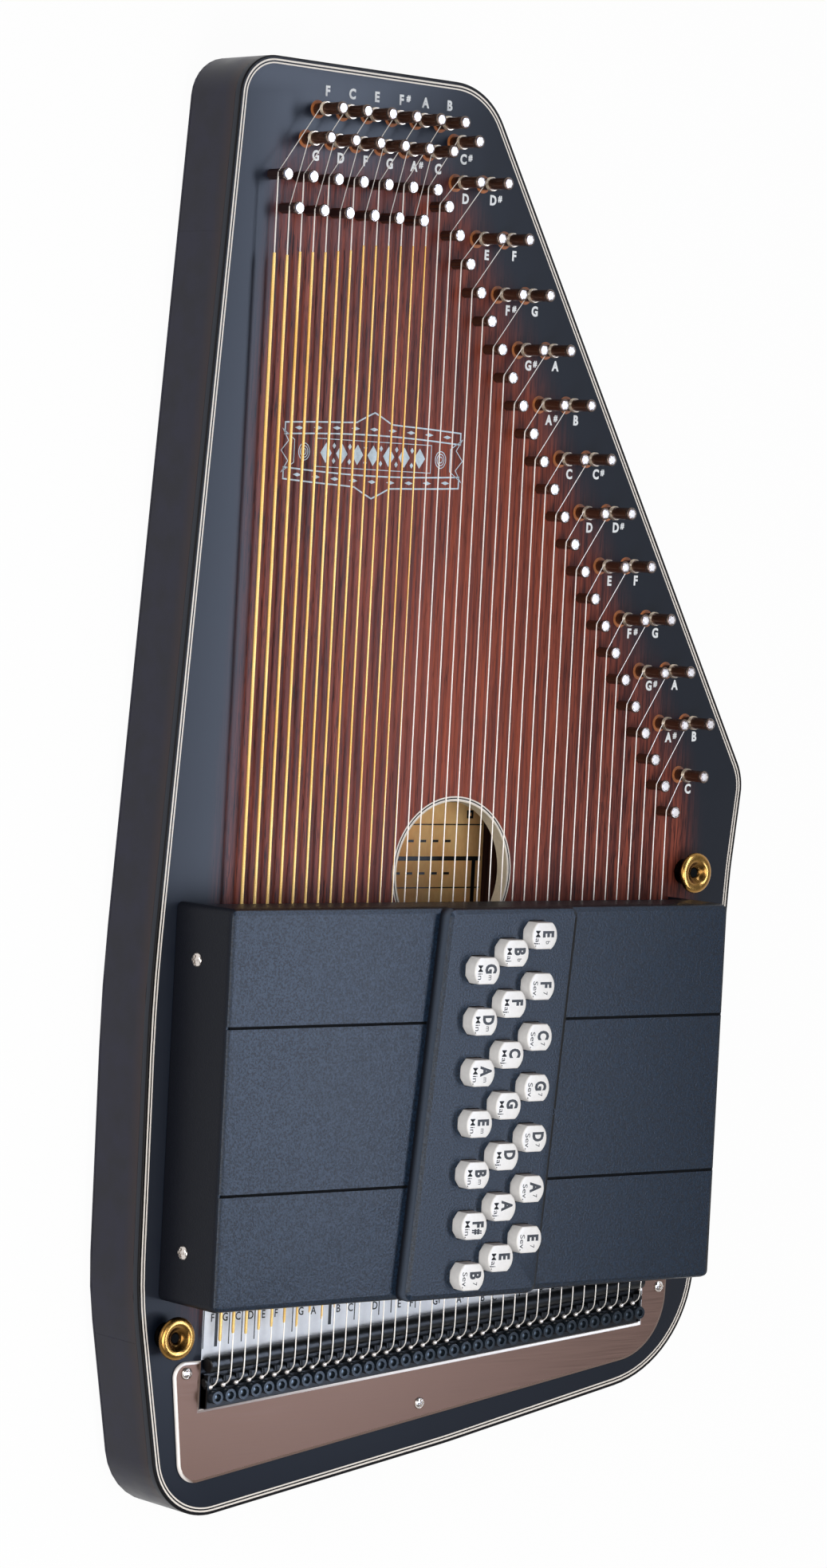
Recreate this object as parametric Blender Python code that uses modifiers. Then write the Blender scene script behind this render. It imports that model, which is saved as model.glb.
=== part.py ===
"""Autoharp: a chord zither with 36 strings and 21 damping chord bars, lying on its back.

The body plan is drawn with X across the strings, from the middle of the string band toward the treble,
and Y along them toward the tuning pins, from a little past the far edge of the chord-bar cover. An empty
carries every piece and sets the middle of the body's outline over the origin. Z is up, out of the
soundboard, and the rubber feet stand on Z = 0.
"""
import math

import bmesh
import bpy
from mathutils import Matrix, Vector

MM = 0.001

# Space left between two pieces that touch
GAP = 0.3 * MM

# Heights
FOOT_HEIGHT = 4.0 * MM
BACK_THICKNESS = 2.5 * MM
BODY_THICKNESS = 34.0 * MM
SOUNDBOARD_THICKNESS = 3.0 * MM
STRING_HEIGHT = 7.0 * MM
BACK_UNDER = FOOT_HEIGHT
BACK_TOP = BACK_UNDER + BACK_THICKNESS
BOARD_TOP = BACK_UNDER + BODY_THICKNESS
BOARD_UNDER = BOARD_TOP - SOUNDBOARD_THICKNESS
RIM_UNDER = BACK_TOP + GAP
RIM_TOP = BOARD_UNDER - GAP
STRINGS_Z = BOARD_TOP + STRING_HEIGHT
ON_BOARD = BOARD_TOP + GAP

# Body outline: corners with the radius that rounds each one
BODY_CORNERS = (
    (-124.4, 329.5, 17), (0.6, 327.3, 30), (161.3, 47.5, 22), (157.0, 8.0, 120),
    (145.5, -204.5, 52), (14.0, -229.7, 400), (-131.2, -253.2, 27), (-147.6, -160.0, 160),
    (-148.3, -40.0, 700),
)
ARC_STEP = math.radians(12)
WELD_DISTANCE = 0.002 * MM
CUTTER_MARGIN = 5.0 * MM
SAW_REACH = 400.0 * MM
RAIL_WIDTH = 14.0 * MM
SIDE_BLOCK_WIDTH = 53.0 * MM
TOP_BLOCK_EDGE = 259.0 * MM
SIDE_BLOCK_EDGE = 24.0 * MM
TAIL_BLOCK_EDGE = -165.4 * MM
BACK_BEVEL = 1.5 * MM

# Sound hole
HOLE_CENTRE = (1.6 * MM, 7.0 * MM)
HOLE_RADIUS = 29.5 * MM
HOLE_SIDES = 28

# Strings, numbered from the bass
NOTES = ("F G C D E F F# G A A# B C C# D D# E F F# G G# A A# B C "
         "C# D D# E F F# G G# A A# B C").split()
STRINGS = len(NOTES)
WOUND_STRINGS = 13
STRING_PITCH = 6.35 * MM
PITCH_GROWTH = 0.00013
WOUND_RADIUS = 0.70 * MM
THICK_PLAIN_RADIUS = 0.30 * MM
THIN_PLAIN_RADIUS = 0.22 * MM

# Tail: everything there rises toward the treble
TAIL_SLOPE = 0.092
TAIL_HALF_WIDTH = 114.2 * MM
RAIL_FAR = -181.4 * MM
RAIL_NEAR = -195.3 * MM
RAIL_TOP = BOARD_TOP + 3.7 * MM
ROD_LINE = -177.6 * MM
ROD_RADIUS = 3.3 * MM
STRING_SINK = 0.1 * MM
CLAW_LINE = -184.8 * MM
CLAW_SIZE = (3.8 * MM, 4.0 * MM)
CLAW_TOP = BOARD_TOP + 5.0 * MM
PIVOT_RADIUS = 2.0 * MM
PIVOT_Z = BOARD_TOP + 2.6 * MM
PIVOT_REACH = 0.7 * MM
RAIL_OVERLAP = 1.0 * MM
TUNER_LINE = -190.4 * MM
TUNER_TOP = STRINGS_Z + 1.0 * MM
TUNER_RADIUS = 2.8 * MM
TUNER_SIDES = 8

# Guide pins
GUIDE_RADIUS = 2.1 * MM
GUIDE_TOP = BOARD_TOP + 10.5 * MM
GUIDE_ROW_FAR = 282.6 * MM
GUIDE_ROW_NEAR = 269.8 * MM
GUIDE_SLANT_START = 276.4 * MM
GUIDE_SLANT_STEP = 11.07 * MM
BEND_PASSES = 5

# Tuning pins: two rows of six at the top, one pin beyond them, then pairs down the slanted side
FIRST_ROW_START = (-87.0 * MM, 310.0 * MM)
SECOND_ROW_START = (-92.2 * MM, 298.0 * MM)
ROW_PITCH = 12.5 * MM
LONE_PIN = (-16.7 * MM, 303.0 * MM)
PAIR_START = (-15.0 * MM, 287.0 * MM)
PAIR_STEP = (12.6 * MM, -21.7 * MM)
OUTER_PIN = (14.6 * MM, 0.6 * MM)
TUNING_RADIUS = 2.4 * MM
TUNING_TOP = BOARD_TOP + 16.6 * MM
COIL_Z = BOARD_TOP + 5.7 * MM
PIN_HOLE_MARGIN = 0.7 * MM
PIN_SIDES = 6
PIN_DEPTH = 6.0 * MM
TUNING_CHAMFER = 0.6 * MM

# Chord bars, in order from the tuning end
CHORDS = ("Eb", "Bb", "Gm", "F7", "F", "Dm", "C7", "C", "Am", "G7", "G", "Em",
          "D7", "D", "Bm", "A7", "A", "F#m", "E7", "E", "B7")
BAR_PITCH = 6.86 * MM
FIRST_BAR_Y = -14.6 * MM
BAR_WIDTH = 4.6 * MM
BAR_START = -132.8 * MM
BAR_END = 119.6 * MM
FELT_HEIGHT = 4.0 * MM
FELT_CLEARANCE = 4.0 * MM
BAR_HEIGHT = 15.0 * MM
NOTCH_HALF = 2.35 * MM
TRAVEL = 3.0 * MM
FELT_UNDER = STRINGS_Z + FELT_CLEARANCE
BAR_UNDER = FELT_UNDER + FELT_HEIGHT
BAR_TOP = BAR_UNDER + BAR_HEIGHT

# Buttons stand in three columns on the bars
BUTTON_COLUMNS = (12.4 * MM, -2.2 * MM, -16.9 * MM)
BUTTON_RADIUS = 6.6 * MM
BUTTON_DEPTH = 10.8 * MM
BUTTON_ARC_STEPS = 3
BUTTON_BEVEL = 0.6 * MM
BUTTON_CLEARANCE = 0.45 * MM
BUTTON_HEAD_UNDER = BAR_TOP + TRAVEL + 0.8 * MM
NECK_HALF = (4.5 * MM, 2.0 * MM)

# Cover
COVER_LEFT = -137.2 * MM
COVER_RIGHT = 123.6 * MM
COVER_FAR = -3.6 * MM
COVER_NEAR = -161.4 * MM
COVER_TOP = STRINGS_Z + 29.0 * MM
COVER_SIDE_WALL = 2.5 * MM
COVER_SKIN = 2.0 * MM
COVER_CORNER = 3.0 * MM
COVER_EDGE = 2.5 * MM
STRING_PASSAGE_TOP = STRINGS_Z + 7.0 * MM
PANEL_RISE = 6.0 * MM
PANEL_FAR = (-32.9 * MM, 36.0 * MM)
PANEL_NEAR = (-46.8 * MM, 23.0 * MM)
PANEL_CORNER = 4.0 * MM
PANEL_EDGE = 2.5 * MM
HOLE_CUT = 6.0 * MM
PANEL_TOP = COVER_TOP + PANEL_RISE
BUTTON_TOP = PANEL_TOP + 6.0 * MM
GROOVES = (-50.0 * MM, -115.6 * MM)
GROOVE_WIDTH = 1.2 * MM
GROOVE_DEPTH = 1.0 * MM
GROOVE_STOP = 0.1 * MM

# Combs that hold the bar ends
HOLDER_BASS = (-131.6 * MM, -119.6 * MM)
HOLDER_TREBLE = (114.6 * MM, 119.0 * MM)
HOLDER_FLOOR = BAR_UNDER - TRAVEL - 0.6 * MM
HOLDER_TOP = BAR_TOP + 2.0 * MM
SLOT_CLEARANCE = 0.3 * MM

# Tail plate
PLATE_THICKNESS = 1.0 * MM
PLATE_CORNERS = (
    (-129.2, -186.6, 6), (-115.2, -186.6, 0), (-115.2, -206.2, 0), (116.2, -185.6, 0),
    (116.2, -163.6, 0), (131.4, -163.6, 2), (130.3, -197.7, 28), (-123.3, -236.8, 9),
)

# Strap buttons and feet
STRAP_PLACES = {
    "strap_button_lower": (-133.0 * MM, -175.6 * MM),
    "strap_button_upper": (129.2 * MM, 7.0 * MM),
}
STRAP_PROFILE = (
    (0.0, 6.2), (1.9, 6.2), (2.5, 8.2), (6.4, 9.0), (8.5, 8.4), (8.7, 7.6),
    (5.0, 5.0), (4.2, 2.6), (5.4, 0.8), (5.4, 0.0), (0.0, 0.0),
)
STRAP_SIDES = 14
FOOT_RADIUS = 7.0 * MM
FOOT_SIDES = 16
FOOT_PLACES = {
    "foot_top": (-30.0 * MM, 285.0 * MM),
    "foot_bass": (-115.0 * MM, -200.0 * MM),
    "foot_treble": (118.0 * MM, -165.0 * MM),
}

PALETTE = {
    "black_lacquer": ((0.035, 0.042, 0.055), 0.30, 0.0),
    "sunburst_mahogany": ((0.16, 0.045, 0.030), 0.35, 0.0),
    "maple": ((0.55, 0.36, 0.20), 0.50, 0.0),
    "nickel": ((0.60, 0.55, 0.52), 0.20, 1.0),
    "satin_nickel": ((0.30, 0.22, 0.20), 0.40, 1.0),
    "brass": ((0.65, 0.43, 0.12), 0.18, 1.0),
    "slate_plastic": ((0.045, 0.060, 0.080), 0.55, 0.0),
    "ivory_plastic": ((0.80, 0.79, 0.76), 0.35, 0.0),
    "black_steel": ((0.02, 0.022, 0.026), 0.35, 0.6),
    "bar_wood_and_felt": ((0.30, 0.20, 0.14), 0.70, 0.0),
    "rubber": ((0.02, 0.02, 0.02), 0.80, 0.0),
}


def clear_scene():
    for item in list(bpy.data.objects):
        bpy.data.objects.remove(item)


def add_collection(name):
    collection = bpy.data.collections.new(name)
    bpy.context.scene.collection.children.link(collection)
    return collection


def material(name):
    found = bpy.data.materials.get(name)
    if found:
        return found
    colour, roughness, metallic = PALETTE[name]
    made = bpy.data.materials.new(name)
    made.use_nodes = True
    shader = made.node_tree.nodes["Principled BSDF"]
    shader.inputs["Base Color"].default_value = (*colour, 1.0)
    shader.inputs["Roughness"].default_value = roughness
    shader.inputs["Metallic"].default_value = metallic
    return made


clear_scene()
PARTS = add_collection("autoharp")
CUTTERS = add_collection("autoharp_cutters")


def rounded(corners, scale=MM):
    """Outline through corners (x, y, radius), each rounded by an arc of its radius."""
    points = []
    count = len(corners)
    for index, (x, y, radius) in enumerate(corners):
        corner = Vector((x, y)) * scale
        before = (Vector(corners[index - 1][:2]) * scale - corner).normalized()
        after = (Vector(corners[(index + 1) % count][:2]) * scale - corner).normalized()
        if radius == 0:
            points.append(corner)
            continue
        half = before.angle(after) / 2
        centre = corner + (before + after).normalized() * (radius * scale / math.sin(half))
        first = corner + before * (radius * scale / math.tan(half)) - centre
        last = corner + after * (radius * scale / math.tan(half)) - centre
        sweep = first.angle_signed(last)
        steps = max(2, math.ceil(abs(sweep) / ARC_STEP))
        for step in range(steps + 1):
            turn = Matrix.Rotation(-sweep * step / steps, 2)
            points.append(centre + turn @ first)
    return points


def ring(centre, radius, sides):
    """Regular polygon with its corners on a circle."""
    return [(centre[0] + radius * math.cos(math.tau * k / sides),
             centre[1] + radius * math.sin(math.tau * k / sides)) for k in range(sides)]


def mesh_from_curve(curve, name):
    """Mesh of a filled or bevelled curve, its caps welded and its faces turned outward."""
    guide = bpy.data.objects.new(name, curve)
    CUTTERS.objects.link(guide)
    bpy.context.view_layer.update()
    depsgraph = bpy.context.evaluated_depsgraph_get()
    mesh = bpy.data.meshes.new_from_object(guide.evaluated_get(depsgraph))
    bpy.data.objects.remove(guide)
    work = bmesh.new()
    work.from_mesh(mesh)
    bmesh.ops.remove_doubles(work, verts=work.verts, dist=WELD_DISTANCE)
    bmesh.ops.recalc_face_normals(work, faces=work.faces)
    work.to_mesh(mesh)
    work.free()
    mesh.name = name
    return mesh


def flat_mesh(name, outlines, thickness):
    """Flat plate: the first outline filled, the others cut through it, centred on its own plane."""
    curve = bpy.data.curves.new(name, "CURVE")
    curve.dimensions = "2D"
    curve.fill_mode = "BOTH"
    curve.extrude = thickness / 2
    for outline in outlines:
        spline = curve.splines.new("POLY")
        spline.points.add(len(outline) - 1)
        for point, place in zip(spline.points, outline):
            point.co = (place[0], place[1], 0.0, 1.0)
        spline.use_cyclic_u = True
    return mesh_from_curve(curve, name)


def add_object(name, mesh, finish, location=(0, 0, 0), rotation=(0, 0, 0)):
    """Named piece of the instrument, carried by the body's empty."""
    mesh.materials.clear()
    mesh.materials.append(material(finish))
    piece = bpy.data.objects.new(name, mesh)
    piece.location = location
    piece.rotation_euler = rotation
    piece.parent = BODY
    PARTS.objects.link(piece)
    return piece


def add_cutter(name, mesh, location=(0, 0, 0)):
    cutter = bpy.data.objects.new(name, mesh)
    cutter.location = location
    cutter.parent = BODY
    cutter.hide_render = True
    cutter.display_type = "WIRE"
    CUTTERS.objects.link(cutter)
    return cutter


def plate(name, outlines, bottom, top, finish):
    mesh = flat_mesh(name, outlines, top - bottom)
    return add_object(name, mesh, finish, (0, 0, (bottom + top) / 2))


def plate_cutter(name, outlines, bottom, top):
    mesh = flat_mesh(name, outlines, top - bottom)
    return add_cutter(name, mesh, (0, 0, (bottom + top) / 2))


def combine(piece, other, operation):
    change = piece.modifiers.new(other.name, "BOOLEAN")
    change.operation = operation
    change.object = other
    return change


def box_outline(left, right, near, far):
    return [(left, near), (right, near), (right, far), (left, far)]


def bevel_level(mesh, level, width, segments):
    """Round the edges of a mesh that lie at one height of its own Z axis."""
    work = bmesh.new()
    work.from_mesh(mesh)
    bmesh.ops.dissolve_limit(work, angle_limit=math.radians(0.5), verts=work.verts, edges=work.edges)
    edges = [edge for edge in work.edges if all(abs(v.co.z - level) < 0.01 * MM for v in edge.verts)]
    bmesh.ops.bevel(work, geom=edges, offset=width, segments=segments, profile=0.5, affect="EDGES")
    work.to_mesh(mesh)
    work.free()


def cylinders(name, places, radius, bottom, top, sides, chamfer=0.0):
    """One mesh of upright cylinders, each with its top edge chamfered if a width is given."""
    work = bmesh.new()
    for x, y in places:
        made = bmesh.ops.create_cone(work, cap_ends=True, segments=sides, radius1=radius, radius2=radius,
                                     depth=top - bottom,
                                     matrix=Matrix.Translation((x, y, (bottom + top) / 2)))
        if chamfer:
            faces = {face for vert in made["verts"] for face in vert.link_faces}
            rim = {edge for face in faces for edge in face.edges
                   if all(vert.co.z > top - 0.01 * MM for vert in edge.verts)}
            bmesh.ops.bevel(work, geom=list(rim), offset=chamfer, segments=1, affect="EDGES")
    mesh = bpy.data.meshes.new(name)
    work.to_mesh(mesh)
    work.free()
    return mesh


def string_x(index, y):
    """Place of a string across the body: the band widens a little toward the tuning end."""
    return (index - (STRINGS - 1) / 2) * (STRING_PITCH + PITCH_GROWTH * y)


def string_radius(index):
    if index < WOUND_STRINGS:
        return WOUND_RADIUS - (WOUND_RADIUS - THICK_PLAIN_RADIUS) * index / WOUND_STRINGS
    thin = (index - WOUND_STRINGS) / (STRINGS - WOUND_STRINGS)
    return THICK_PLAIN_RADIUS - (THICK_PLAIN_RADIUS - THIN_PLAIN_RADIUS) * thin


def guide_pin(index):
    """Each string bends round the bass side of its guide pin."""
    if index < WOUND_STRINGS:
        y = GUIDE_ROW_NEAR if index % 2 else GUIDE_ROW_FAR
    else:
        y = GUIDE_SLANT_START - GUIDE_SLANT_STEP * (index - WOUND_STRINGS)
    return (string_x(index, y) + GUIDE_RADIUS + GAP + string_radius(index), y)


def tuning_pin(index):
    """Place of the tuning pin that a string winds on."""
    if index == WOUND_STRINGS - 1:
        return LONE_PIN
    if index < WOUND_STRINGS - 1:
        start = SECOND_ROW_START if index % 2 else FIRST_ROW_START
        return (start[0] + ROW_PITCH * (index // 2), start[1])
    pair, outer = divmod(index - WOUND_STRINGS, 2)
    return (PAIR_START[0] + PAIR_STEP[0] * pair + OUTER_PIN[0] * outer,
            PAIR_START[1] + PAIR_STEP[1] * pair + OUTER_PIN[1] * outer)


def guide_bend(index):
    """Where a string turns round its guide pin, just clear of it, toward its tuning pin."""
    guide, pin = Vector(guide_pin(index)), Vector(tuning_pin(index))
    reach = GUIDE_RADIUS + GAP + string_radius(index)
    bend = Vector((guide.x - reach, guide.y))
    for _ in range(BEND_PASSES):
        pull = pin - bend
        bend.y = guide.y + reach * math.tan(math.atan2(pull.x, pull.y) / 2)
    return bend


def tail_y(line, x):
    return line + TAIL_SLOPE * x


def edge_x(first, y):
    """Place across the body of the straight edge that starts at one outline corner."""
    (x0, y0, _), (x1, y1, _) = BODY_CORNERS[first], BODY_CORNERS[(first + 1) % len(BODY_CORNERS)]
    return x0 * MM + (y - y0 * MM) * (x1 - x0) / (y1 - y0)


def all_pins():
    return [(guide_pin(index), GUIDE_RADIUS) for index in range(STRINGS)] + \
           [(tuning_pin(index), TUNING_RADIUS) for index in range(STRINGS)]


def rim_regions():
    """Plan of the saw cuts that part the rim: butt joints across it, and each piece's inner edge."""
    far = SAW_REACH
    half = GAP / 2
    top_over, top_under = TOP_BLOCK_EDGE + half, TOP_BLOCK_EDGE - half
    side_over, side_under = SIDE_BLOCK_EDGE + half, SIDE_BLOCK_EDGE - half
    bend_y = BODY_CORNERS[8][1] * MM
    tail_y_bass, tail_y_treble = (tail_y(TAIL_BLOCK_EDGE, x) for x in (-far, far))
    slant = (edge_x(1, top_under) - edge_x(1, side_over)) / (top_under - side_over)
    inset = SIDE_BLOCK_WIDTH * math.hypot(1, slant)
    bass_foot = edge_x(7, TAIL_BLOCK_EDGE) + RAIL_WIDTH
    treble_foot = edge_x(3, TAIL_BLOCK_EDGE) - RAIL_WIDTH
    return {
        "pin_block_top": [(-far, top_over), (far, top_over), (far, far), (-far, far)],
        "pin_block_side": [
            (edge_x(1, side_over) - inset, side_over), (far, side_over), (far, top_under),
            (edge_x(1, top_under) - inset, top_under)],
        "bass_rail": [
            (-far, tail_y_bass + half), (bass_foot, tail_y(TAIL_BLOCK_EDGE, bass_foot) + half),
            (edge_x(8, bend_y) + RAIL_WIDTH, bend_y),
            (edge_x(8, top_under) + RAIL_WIDTH, top_under), (-far, top_under)],
        "treble_rail": [
            (treble_foot, tail_y(TAIL_BLOCK_EDGE, treble_foot) + half), (far, tail_y_treble + half),
            (far, side_under), (edge_x(3, 0.0) - RAIL_WIDTH, side_under)],
        "tail_block": [
            (-far, -far), (far, -far), (far, tail_y_treble - half), (-far, tail_y_bass - half)],
    }


def make_rim():
    """The five blocks and rails between the back and the soundboard, sawn from the body's outline."""
    outline = rounded(BODY_CORNERS)
    blocks = {}
    for name, region in rim_regions().items():
        finish = "maple" if name.startswith("pin") else "black_lacquer"
        block = plate(name, [outline], RIM_UNDER, RIM_TOP, finish)
        cutter = plate_cutter(name + "_region", [region], RIM_UNDER - CUTTER_MARGIN,
                              RIM_TOP + CUTTER_MARGIN)
        combine(block, cutter, "INTERSECT")
        blocks[name] = block
    return blocks


def add_pins(blocks):
    """Drive every guide pin and tuning pin into the block beneath it."""
    foot = RIM_TOP - PIN_DEPTH
    for name, far_side in (("pin_block_top", True), ("pin_block_side", False)):
        guides = [guide_pin(index) for index in range(STRINGS)]
        tuners = [tuning_pin(index) for index in range(STRINGS)]
        kinds = (("guides", guides, GUIDE_RADIUS, GUIDE_TOP, 0.0),
                 ("tuners", tuners, TUNING_RADIUS, TUNING_TOP, TUNING_CHAMFER))
        for kind, places, radius, top, chamfer in kinds:
            places = [place for place in places if (place[1] > TOP_BLOCK_EDGE) == far_side]
            mesh = cylinders(f"{name}_{kind}", places, radius, foot, top, PIN_SIDES, chamfer)
            combine(blocks[name], add_cutter(mesh.name, mesh), "UNION")


def make_soundboard():
    holes = [ring(HOLE_CENTRE, HOLE_RADIUS, HOLE_SIDES)]
    holes += [ring(place, radius + PIN_HOLE_MARGIN, PIN_SIDES) for place, radius in all_pins()]
    outlines = [rounded(BODY_CORNERS)] + holes
    return plate("soundboard", outlines, BOARD_UNDER, BOARD_TOP, "sunburst_mahogany")


def make_back():
    mesh = flat_mesh("back_panel", [rounded(BODY_CORNERS)], BACK_THICKNESS)
    bevel_level(mesh, -BACK_THICKNESS / 2, BACK_BEVEL, 1)
    return add_object("back_panel", mesh, "black_lacquer", (0, 0, (BACK_UNDER + BACK_TOP) / 2))


def string_route(index):
    """From the tuning pin round the guide pin, over the bridge rod and down to the claw."""
    radius = string_radius(index)
    pin, bend = Vector(tuning_pin(index)), guide_bend(index)
    end = pin - (pin - bend).normalized() * (TUNING_RADIUS + GAP + radius)
    x = string_x(index, ROD_LINE)
    rod, claw = tail_y(ROD_LINE, x), tail_y(CLAW_LINE, x)
    return [(end.x, end.y, COIL_Z), (bend.x, bend.y, STRINGS_Z), (x, rod, STRINGS_Z),
            (x, claw + CLAW_SIZE[1] / 2, CLAW_TOP + radius + GAP), (x, claw, CLAW_TOP + radius + GAP)]


def make_strings():
    """Every string, joined by the bridge rod that all of them bear on."""
    curve = bpy.data.curves.new("strings", "CURVE")
    curve.dimensions = "3D"
    curve.bevel_depth = MM
    curve.bevel_resolution = 0
    curve.use_fill_caps = True
    for index in range(STRINGS):
        route = string_route(index)
        spline = curve.splines.new("POLY")
        spline.points.add(len(route) - 1)
        for point, place in zip(spline.points, route):
            point.co = (*place, 1.0)
            point.radius = string_radius(index) / MM
    strings = add_cutter("strings", mesh_from_curve(curve, "strings"))
    rod_mesh = tail_bar("bridge_rod", ROD_LINE, STRINGS_Z - ROD_RADIUS + STRING_SINK, 0.0, ROD_RADIUS, 2)
    rod = add_object("strings_and_bridge_rod", rod_mesh, "nickel")
    combine(rod, strings, "UNION")
    return rod


def make_fine_tuners():
    """A rail along the tail on a pivot shaft, with a claw and a screw for each string."""
    half = TAIL_HALF_WIDTH
    corners = ((RAIL_NEAR, -half), (RAIL_NEAR, half), (RAIL_FAR, half), (RAIL_FAR, -half))
    outline = [(x, tail_y(line, x)) for line, x in corners]
    rail = plate("fine_tuner_rail", [outline], ON_BOARD, RAIL_TOP, "black_steel")
    across = [string_x(index, ROD_LINE) for index in range(STRINGS)]
    places = [(x, tail_y(TUNER_LINE, x)) for x in across]
    sunk = RAIL_TOP - RAIL_OVERLAP
    screws = cylinders("tuner_screws", places, TUNER_RADIUS, sunk, TUNER_TOP, TUNER_SIDES)
    combine(rail, add_cutter("tuner_screws", screws), "UNION")
    work = bmesh.new()
    for x in across:
        claw = bmesh.ops.create_cube(work, size=1.0)
        bmesh.ops.scale(work, vec=(*CLAW_SIZE, CLAW_TOP - sunk), verts=claw["verts"])
        centre = (x, tail_y(CLAW_LINE, x), (CLAW_TOP + sunk) / 2)
        bmesh.ops.translate(work, vec=centre, verts=claw["verts"])
    claws = bpy.data.meshes.new("tuner_claws")
    work.to_mesh(claws)
    work.free()
    combine(rail, add_cutter("tuner_claws", claws), "UNION")
    shaft = tail_bar("pivot_shaft", CLAW_LINE, PIVOT_Z, PIVOT_REACH, PIVOT_RADIUS, 1)
    combine(rail, add_cutter("pivot_shaft", shaft), "UNION")
    return rail


def round_bar(name, ends, radius, detail):
    """Round bar between two points."""
    curve = bpy.data.curves.new(name, "CURVE")
    curve.dimensions = "3D"
    curve.bevel_depth = radius
    curve.bevel_resolution = detail
    curve.use_fill_caps = True
    spline = curve.splines.new("POLY")
    spline.points.add(1)
    for point, place in zip(spline.points, ends):
        point.co = (*place, 1.0)
    return mesh_from_curve(curve, name)


def tail_bar(name, line, z, reach, radius, detail):
    """Round bar that runs along the tail, on both sides of the string band."""
    half = TAIL_HALF_WIDTH + reach
    ends = [(x, tail_y(line, x), z) for x in (-half, half)]
    return round_bar(name, ends, radius, detail)


def pitch_class(note):
    """Semitones above C of a note name with an optional sharp or flat."""
    natural = {"C": 0, "D": 2, "E": 4, "F": 5, "G": 7, "A": 9, "B": 11}[note[0]]
    return (natural + note.count("#") - note.count("b")) % 12


def chord_tones(chord):
    """Notes that a bar leaves open: a major, minor or seventh chord on its root."""
    minor = chord.endswith("m")
    seventh = chord.endswith("7")
    root = pitch_class(chord.rstrip("m7"))
    steps = [0, 3 if minor else 4, 7] + ([10] if seventh else [])
    return {(root + step) % 12 for step in steps}


def bar_profile(chord):
    """Side view of a chord bar: felt over each string it damps, a notch over each string it leaves open."""
    tones = chord_tones(chord)
    y = FIRST_BAR_Y - BAR_PITCH * CHORDS.index(chord)
    first, last = string_x(0, y), string_x(STRINGS - 1, y)
    felt_start, felt_end = first - STRING_PITCH / 2, last + STRING_PITCH / 2
    points = [(BAR_START, BAR_TOP), (BAR_START, BAR_UNDER)]
    on_felt = False
    for index, note in enumerate(NOTES):
        x = string_x(index, y)
        damped = pitch_class(note) not in tones
        if damped and not on_felt:
            start = felt_start if index == 0 else x - STRING_PITCH + NOTCH_HALF
            points += [(start, BAR_UNDER), (start, FELT_UNDER)]
        if not damped and on_felt:
            points += [(x - NOTCH_HALF, FELT_UNDER), (x - NOTCH_HALF, BAR_UNDER)]
        on_felt = damped
    if on_felt:
        points += [(felt_end, FELT_UNDER), (felt_end, BAR_UNDER)]
    return points + [(BAR_END, BAR_UNDER), (BAR_END, BAR_TOP)]


def chord_place(index):
    return (BUTTON_COLUMNS[index % 3], FIRST_BAR_Y - BAR_PITCH * index)


def chord_name(index):
    return f"{index + 1:02d}_{CHORDS[index].replace('#', 's')}"


def make_bar(index):
    name = "chord_bar_" + chord_name(index)
    mesh = flat_mesh(name, [bar_profile(CHORDS[index])], BAR_WIDTH)
    y = chord_place(index)[1]
    return add_object(name, mesh, "bar_wood_and_felt", (0, y, 0), (math.pi / 2, 0, 0))


def button_outline(margin=0.0):
    """Round button with a flat on its far side and its near side."""
    radius = BUTTON_RADIUS + margin
    reach = math.asin((BUTTON_DEPTH / 2 + margin) / radius)
    points = []
    for middle in (0.0, math.pi):
        for step in range(BUTTON_ARC_STEPS + 1):
            angle = middle + reach * (2 * step / BUTTON_ARC_STEPS - 1)
            points.append((radius * math.cos(angle), radius * math.sin(angle)))
    return points


def make_button(index):
    """Button head on a neck no wider than its bar, so that it goes down between the neighbouring bars."""
    name = "chord_button_" + chord_name(index)
    height = BUTTON_TOP - BUTTON_HEAD_UNDER
    x, y = chord_place(index)
    head = flat_mesh(name, [button_outline()], height)
    bevel_level(head, height / 2, BUTTON_BEVEL, 1)
    button = add_object(name, head, "ivory_plastic", (x, y, (BUTTON_HEAD_UNDER + BUTTON_TOP) / 2))
    half_x, half_y = NECK_HALF
    neck = box_outline(x - half_x, x + half_x, y - half_y, y + half_y)
    neck_top = BUTTON_HEAD_UNDER + height / 2
    combine(button, plate_cutter(name + "_neck", [neck], BAR_TOP + GAP, neck_top), "UNION")
    return button


def make_holder(name, left, right):
    """Comb standing under one end of the bars, with a slot for each bar."""
    slot = BAR_WIDTH + 2 * SLOT_CLEARANCE
    tooth = BAR_PITCH - slot
    far = FIRST_BAR_Y + slot / 2 + tooth
    near = FIRST_BAR_Y - BAR_PITCH * (len(CHORDS) - 1) - slot / 2 - tooth
    points = [(near, ON_BOARD), (far, ON_BOARD), (far, HOLDER_TOP)]
    for index in range(len(CHORDS)):
        y = FIRST_BAR_Y - BAR_PITCH * index
        points += [(y + slot / 2, HOLDER_TOP), (y + slot / 2, HOLDER_FLOOR),
                   (y - slot / 2, HOLDER_FLOOR), (y - slot / 2, HOLDER_TOP)]
    points.append((near, HOLDER_TOP))
    mesh = flat_mesh(name, [points], right - left)
    middle = (left + right) / 2
    return add_object(name, mesh, "slate_plastic", (middle, 0, 0), (math.pi / 2, 0, math.pi / 2))


def panel_side(ends, y):
    """Place across the cover of one slanted side of the panel, from its far and near ends."""
    return ends[0] + (ends[0] - ends[1]) / (COVER_FAR - COVER_NEAR) * (y - COVER_FAR)


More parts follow.
